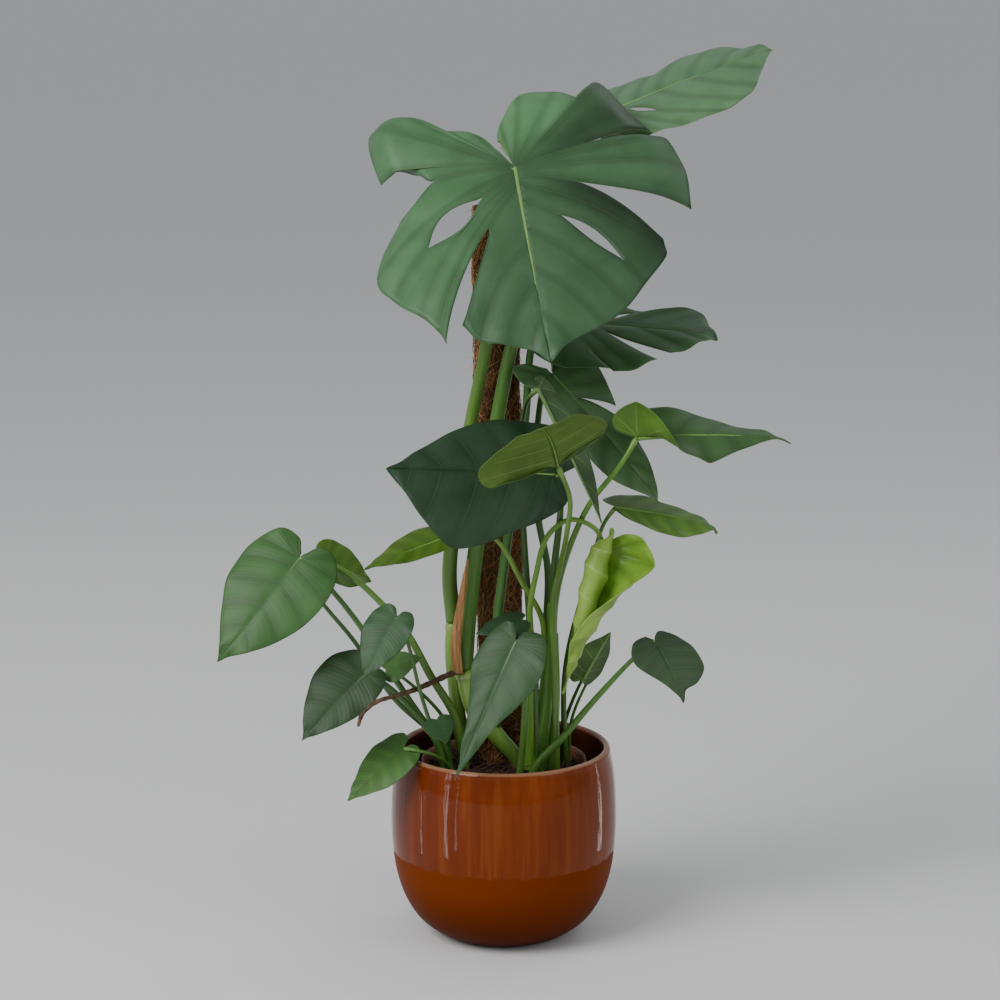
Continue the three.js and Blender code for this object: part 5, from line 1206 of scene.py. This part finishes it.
class PLANT_OT_stems(bpy.types.Operator):
    """Adds the two climbing stems, the sheathing bases, the aerial root and the dry sheath"""
    bl_idname = "plant.stems"
    bl_label = "Stems and root"

    def execute(self, context):
        stalk = stalk_material()
        self.stem("climbing_stem_lower", "stem_lower", STEM_LOWER, lambda t: 7.5 + 3.5 * smooth(t * 1.2),
                  stalk)
        self.stem("climbing_stem_upper", "stem_upper", STEM_UPPER, lambda t: 7 + 1.4 * t, stalk)
        points, parts, values = merged([self.sheath(*sheath) for sheath in SHEATHS])
        fitted(build_object("sheathing_bases", points, parts, [stalk], values), "crown_sheaths")
        self.root()
        self.dry_sheath()
        return {"FINISHED"}

    def stem(self, name, node, path, radius_at, material):
        """A climbing stem: a tube with a low ring near its top, where the leaf stalk leaves it."""
        sides = 28
        line = curve_through(path, spacing=2)
        t = np.linspace(0, 1, len(line))
        far = (1 - t) * 2 * len(line)
        swell = 0.07 * np.exp(-((far - 6) / 3) ** 2) - 0.05 * np.exp(-((far - 12) / 3) ** 2)
        radius = radius_at(t) * (1 + swell)
        radius[-2:] *= [0.95, 0.8]
        points, parts = tube(line, radius, sides)
        ring = np.concatenate([np.repeat(np.exp(-((far - 6) / 2.5) ** 2), sides), [0, 0]])[:, None]
        grown = np.concatenate([np.repeat(smooth(t / 0.7), sides), [0, 1]])[:, None]
        tint = np.array(linear("466829")) * (1 - grown) + np.array(linear("86ac48")) * grown
        tint = tint * (1 - 0.6 * ring) + np.array(linear("b4b880")) * 0.6 * ring
        fitted(build_object(name, points, parts, [material], {"tint": tint}), node)

    def sheath(self, path, foot, top):
        """A sheathing base: a thick tapering tube with a groove down one side."""
        sides = 28
        line = curve_through(path, spacing=3)
        t = np.linspace(0, 1, len(line))
        angle = np.linspace(0, 2 * np.pi, sides, endpoint=False)
        fold = 1 - 0.16 * np.exp(-((np.cos(angle - 4.3) - 1) / 0.06) ** 2) + 0.05 * np.cos(3 * angle)
        points, parts = tube(line, (foot + (top - foot) * np.sqrt(t))[:, None] * fold[None, :], sides)
        return points, parts, spread_over(len(points), tint=linear("5f8f34"))

    def root(self):
        """The aerial root, which thins in low rings to a blunt tip."""
        path = curve_through(ROOT, spacing=1.2)
        t = np.linspace(0, 1, len(path))
        radius = 3.3 - 1.3 * t + 0.22 * np.sin(t * 90) + 0.15 * np.sin(t * 41 + 1)
        radius[-3:] *= [0.9, 0.7, 0.4]
        root = build_object("hooked_root", *tube(path, radius, sides=12), [root_material()])
        fitted(root, "aerial_root")

    def dry_sheath(self):
        """A thin strip that curls about its length: each row of points is an arc as wide as the strip."""
        line = curve_through(DRY_SHEATH, spacing=2)
        t = np.linspace(0, 1, len(line))
        half = np.interp(t, [0, 0.3, 0.6, 0.85, 1], [5.5, 5.6, 4, 2.4, 0.7])
        u = np.linspace(-1, 1, 13)
        bow = 1.6 * (1 - u ** 2)[None, :] + 0.35 * np.sin(u * 9)[None, :] * np.sin(t * 25)[:, None]
        points = np.stack([line[:, :1] + u[None, :] * half[:, None], line[:, 1:2] - bow,
                           np.repeat(line[:, 2:], len(u), axis=1)], axis=-1)
        faces = halved(patch_faces(np.arange(bow.size).reshape(bow.shape)))
        points, parts = thickened(points.reshape(-1, 3), faces, half=0.25, under=0)
        fitted(build_object("papery_sheath", points, parts, [papery_material()]), "dry_sheath")


class PLANT_OT_leaves(bpy.types.Operator):
    """Adds every leaf with its blade, midrib and stalk"""
    bl_idname = "plant.leaves"
    bl_label = "Leaves"

    def execute(self, context):
        settings = context.scene.plant_leaves
        grown = [leaf_upper_material("Monstera blade, upper face", "93ad7c", 0.46),
                 leaf_under_material("Monstera blade, underside", "a5bd74", 0.6), stalk_material()]
        young = [leaf_upper_material("Young blade, upper face", "bcd27c", 0.32),
                 leaf_under_material("Young blade, underside", "cfdf9c", 0.42), grown[2]]
        for number, leaf in enumerate(LEAVES):
            rng = np.random.default_rng(100 + number)
            bodies = [blade_body(leaf, settings, rng), rib_body(leaf), stalk_body(leaf)]
            points, parts, values = merged(bodies)
            lime = leaf["name"] in LIME_LEAVES
            name = leaf["name"].replace("leaf", "blade")
            piece = build_object(name, points, parts, young if lime else grown, values)
            fitted(piece, leaf["name"])
        return {"FINISHED"}


class PLANT_PT_panel(bpy.types.Panel):
    """Lists the plant's operators and settings"""
    bl_idname = "PLANT_PT_panel"
    bl_label = "Swiss cheese plant"
    bl_space_type = "VIEW_3D"
    bl_region_type = "UI"
    bl_category = "Plant"

    def draw(self, context):
        for operator in OPERATORS:
            self.layout.operator(operator.bl_idname)
        for key, group in GROUPS.items():
            box = self.layout.box()
            for name in group.__annotations__:
                box.prop(getattr(context.scene, key), name)


GROUPS = {"plant_leaves": PlantSettings, "plant_pot": PotSettings, "plant_pole": PoleSettings,
          "plant_stage": StageSettings}
OPERATORS = (PLANT_OT_stage, PLANT_OT_glazed_pot, PLANT_OT_nursery_pot, PLANT_OT_soil, PLANT_OT_coir_pole,
             PLANT_OT_stems, PLANT_OT_leaves)


def register():
    for group in GROUPS.values():
        bpy.utils.register_class(group)
    for key, group in GROUPS.items():
        setattr(bpy.types.Scene, key, bpy.props.PointerProperty(type=group))
    for operator in OPERATORS:
        bpy.utils.register_class(operator)
    bpy.utils.register_class(PLANT_PT_panel)


def unregister():
    bpy.utils.unregister_class(PLANT_PT_panel)
    for operator in reversed(OPERATORS):
        bpy.utils.unregister_class(operator)
    for key, group in reversed(GROUPS.items()):
        delattr(bpy.types.Scene, key)
        bpy.utils.unregister_class(group)


def main():
    register()
    bpy.ops.plant.stage()
    bpy.ops.plant.glazed_pot()
    bpy.ops.plant.nursery_pot()
    bpy.ops.plant.soil()
    bpy.ops.plant.coir_pole()
    bpy.ops.plant.stems()
    bpy.ops.plant.leaves()


if __name__ == "__main__":
    main()
